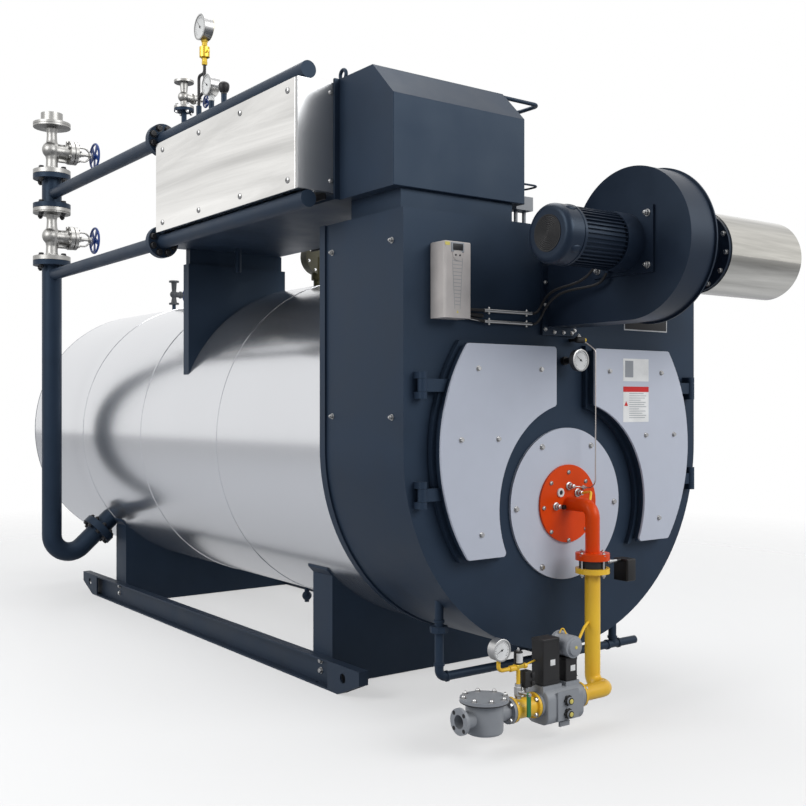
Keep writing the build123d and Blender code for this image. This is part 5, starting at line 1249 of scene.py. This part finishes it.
cable_routes = {
    "upper_motor_cable": [(-203, -21, 1566), (-178, -21, 1566), (-165, -34, 1592), (-170, -62, 1622),
                          (-178, -104, 1644), (-180, -155, 1655), (-176, -210, 1662), (-173, -257, 1673),
                          (-172, -298.93, 1693.93), (-172, -321.56, 1716.56)],
    "lower_motor_cable": [(-203, -21, 1525), (-178, -21, 1525), (-163, -34, 1552), (-168, -60, 1584),
                          (-171, -100, 1616), (-166, -148, 1638), (-158, -200, 1646), (-150, -254, 1650),
                          (-141, -298, 1656), (-135, -330, 1670.10), (-135, -346, 1697.81)],
}
for cable_name, route in cable_routes.items():
    line = round_line(cable_name + "_line", "NURBS", [spot(*place) for place in route], 5, 5)
    spline = line.splines[0]
    spline.order_u = 3
    spline.use_endpoint_u = True
    spline.resolution_u = 8
    line.materials.append(rubber_black)
    cable = bpy.data.objects.new(cable_name + "_cord", line)
    bpy.context.scene.collection.objects.link(cable)
    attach(cable, "boiler")
    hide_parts(cable_name)

# %% [markdown]
# ## Front drain line
# The drain line is screwed pipe: an elbow, a union nut and a tee, each with collars a little wider than the
# pipe.

# %% Drain collars
drain_y, drain_z = 115, 188
collar = turned([(0, 19), (1, 21), (10, 21), (11, 19)], 28)
finish(join(copies(collar, [(spot(-548, drain_y, 232), up), (spot(-518, drain_y, drain_z), right),
                            (spot(372, drain_y, drain_z), left), (spot(428, drain_y, drain_z), right),
                            (spot(400, drain_y, 212), up), (spot(-548, drain_y, 395), up)])),
       "drain_collars", navy_paint)
discard(collar)
turned_piece("drain_union_nut", navy_paint, [(0, 30), (2, 36), (20, 36), (22, 30)], 8, (-548, drain_y, 359),
             up)
print("drain line done")

# %% [markdown]
# ## Floor, light and camera
# The photograph stands the boiler on white with soft light from the upper right. A pale floor catches the
# shadow, the backdrop is white by the world's colour, and the camera stands where the photograph was taken.

# %% Floor
deselect_all()
bpy.ops.mesh.primitive_plane_add(size=60, location=(0, 0, 0))
floor = bpy.context.object
floor.name = "studio_floor"
floor_material, floor_tree, floor_shader, floor_place = new_material("studio_floor_white")
floor_shader.inputs["Roughness"].default_value = 0.9
floor.data.materials.append(floor_material)


def seen_directly(tree):
    """1 for what the camera, a mirror or a pane shows, 0 for the light that falls on things."""
    paths = tree.nodes.new("ShaderNodeLightPath").outputs
    seen = math_node(tree, "MAXIMUM", paths["Is Camera Ray"], paths["Is Glossy Ray"])
    return math_node(tree, "MAXIMUM", seen, paths["Is Transmission Ray"])


camera_ray = floor_tree.nodes.new("ShaderNodeLightPath").outputs["Is Camera Ray"]
floor_tree.links.new(mixed_colour(floor_tree, camera_ray, (0.34, 0.36, 0.40), (0.90, 0.90, 0.90)),
                     floor_shader.inputs["Base Color"])
distance = floor_tree.nodes.new("ShaderNodeVectorMath")
distance.operation = "LENGTH"
floor_tree.links.new(floor_place, distance.inputs[0])
fade = floor_tree.nodes.new("ShaderNodeMapRange")
for label, value in (("From Min", 2.5), ("From Max", 7.0), ("To Min", 0.5), ("To Max", 1.0)):
    fade.inputs[label].default_value = value
floor_tree.links.new(distance.outputs["Value"], fade.inputs["Value"])
see_through = floor_tree.nodes.new("ShaderNodeBsdfTransparent")
floor_mix = floor_tree.nodes.new("ShaderNodeMixShader")
direct_share = math_node(floor_tree, "MULTIPLY", fade.outputs["Result"], camera_ray)
mirrored_share = math_node(floor_tree, "MULTIPLY", 0.42,
                           math_node(floor_tree, "SUBTRACT", seen_directly(floor_tree), camera_ray))
floor_tree.links.new(math_node(floor_tree, "ADD", direct_share, mirrored_share), floor_mix.inputs[0])
floor_tree.links.new(floor_shader.outputs[0], floor_mix.inputs[1])
floor_tree.links.new(see_through.outputs[0], floor_mix.inputs[2])
floor_tree.links.new(floor_mix.outputs[0], floor_tree.nodes["Material Output"].inputs["Surface"])

# %% Lamps and world
def soft_lamp(name, place, target, size, power):
    deselect_all()
    bpy.ops.object.light_add(type="AREA", location=place)
    lamp = bpy.context.object
    lamp.name = name
    lamp.data.shape = "RECTANGLE"
    lamp.data.size = size[0]
    lamp.data.size_y = size[1]
    lamp.data.energy = power
    lamp.rotation_euler = (Vector(target) - Vector(place)).to_track_quat("-Z", "Y").to_euler()
    return lamp


key_lamp = soft_lamp("key_softbox", (2.6, -8.6, 5.0), (0, -2, 1.2), (6.0, 4.0), 400)
left_lamp = soft_lamp("left_softbox", (-7.0, -1.0, 4.5), (0, 0, 1.2), (4.0, 4.0), 260)
top_lamp = soft_lamp("top_softbox", (0.5, 1.0, 7.5), (0, 0, 1.0), (5.0, 7.0), 300)

world = bpy.data.worlds.new("white_studio")
bpy.context.scene.world = world
world.use_nodes = True
world_tree = world.node_tree
background = world_tree.nodes["Background"]
world_tree.links.new(mixed_colour(world_tree, seen_directly(world_tree), (0.23, 0.24, 0.26),
                                  (1.0, 1.0, 1.0)), background.inputs["Color"])
background.inputs["Strength"].default_value = 1.0

# %% Camera
camera_place = (-3.0129, -5.1721, 1.2215)
camera_yaw = math.radians(36.35)
focal_pixels = 1055.29
picture_pixels = 806
sensor_width = 36.0
deselect_all()
bpy.ops.object.camera_add(location=camera_place, rotation=(math.pi / 2, 0, -camera_yaw))
camera = bpy.context.object
camera.name = "photo_camera"
camera.data.sensor_width = sensor_width
camera.data.lens = focal_pixels * sensor_width / picture_pixels
bpy.context.scene.camera = camera
bpy.context.scene.view_settings.view_transform = "Standard"
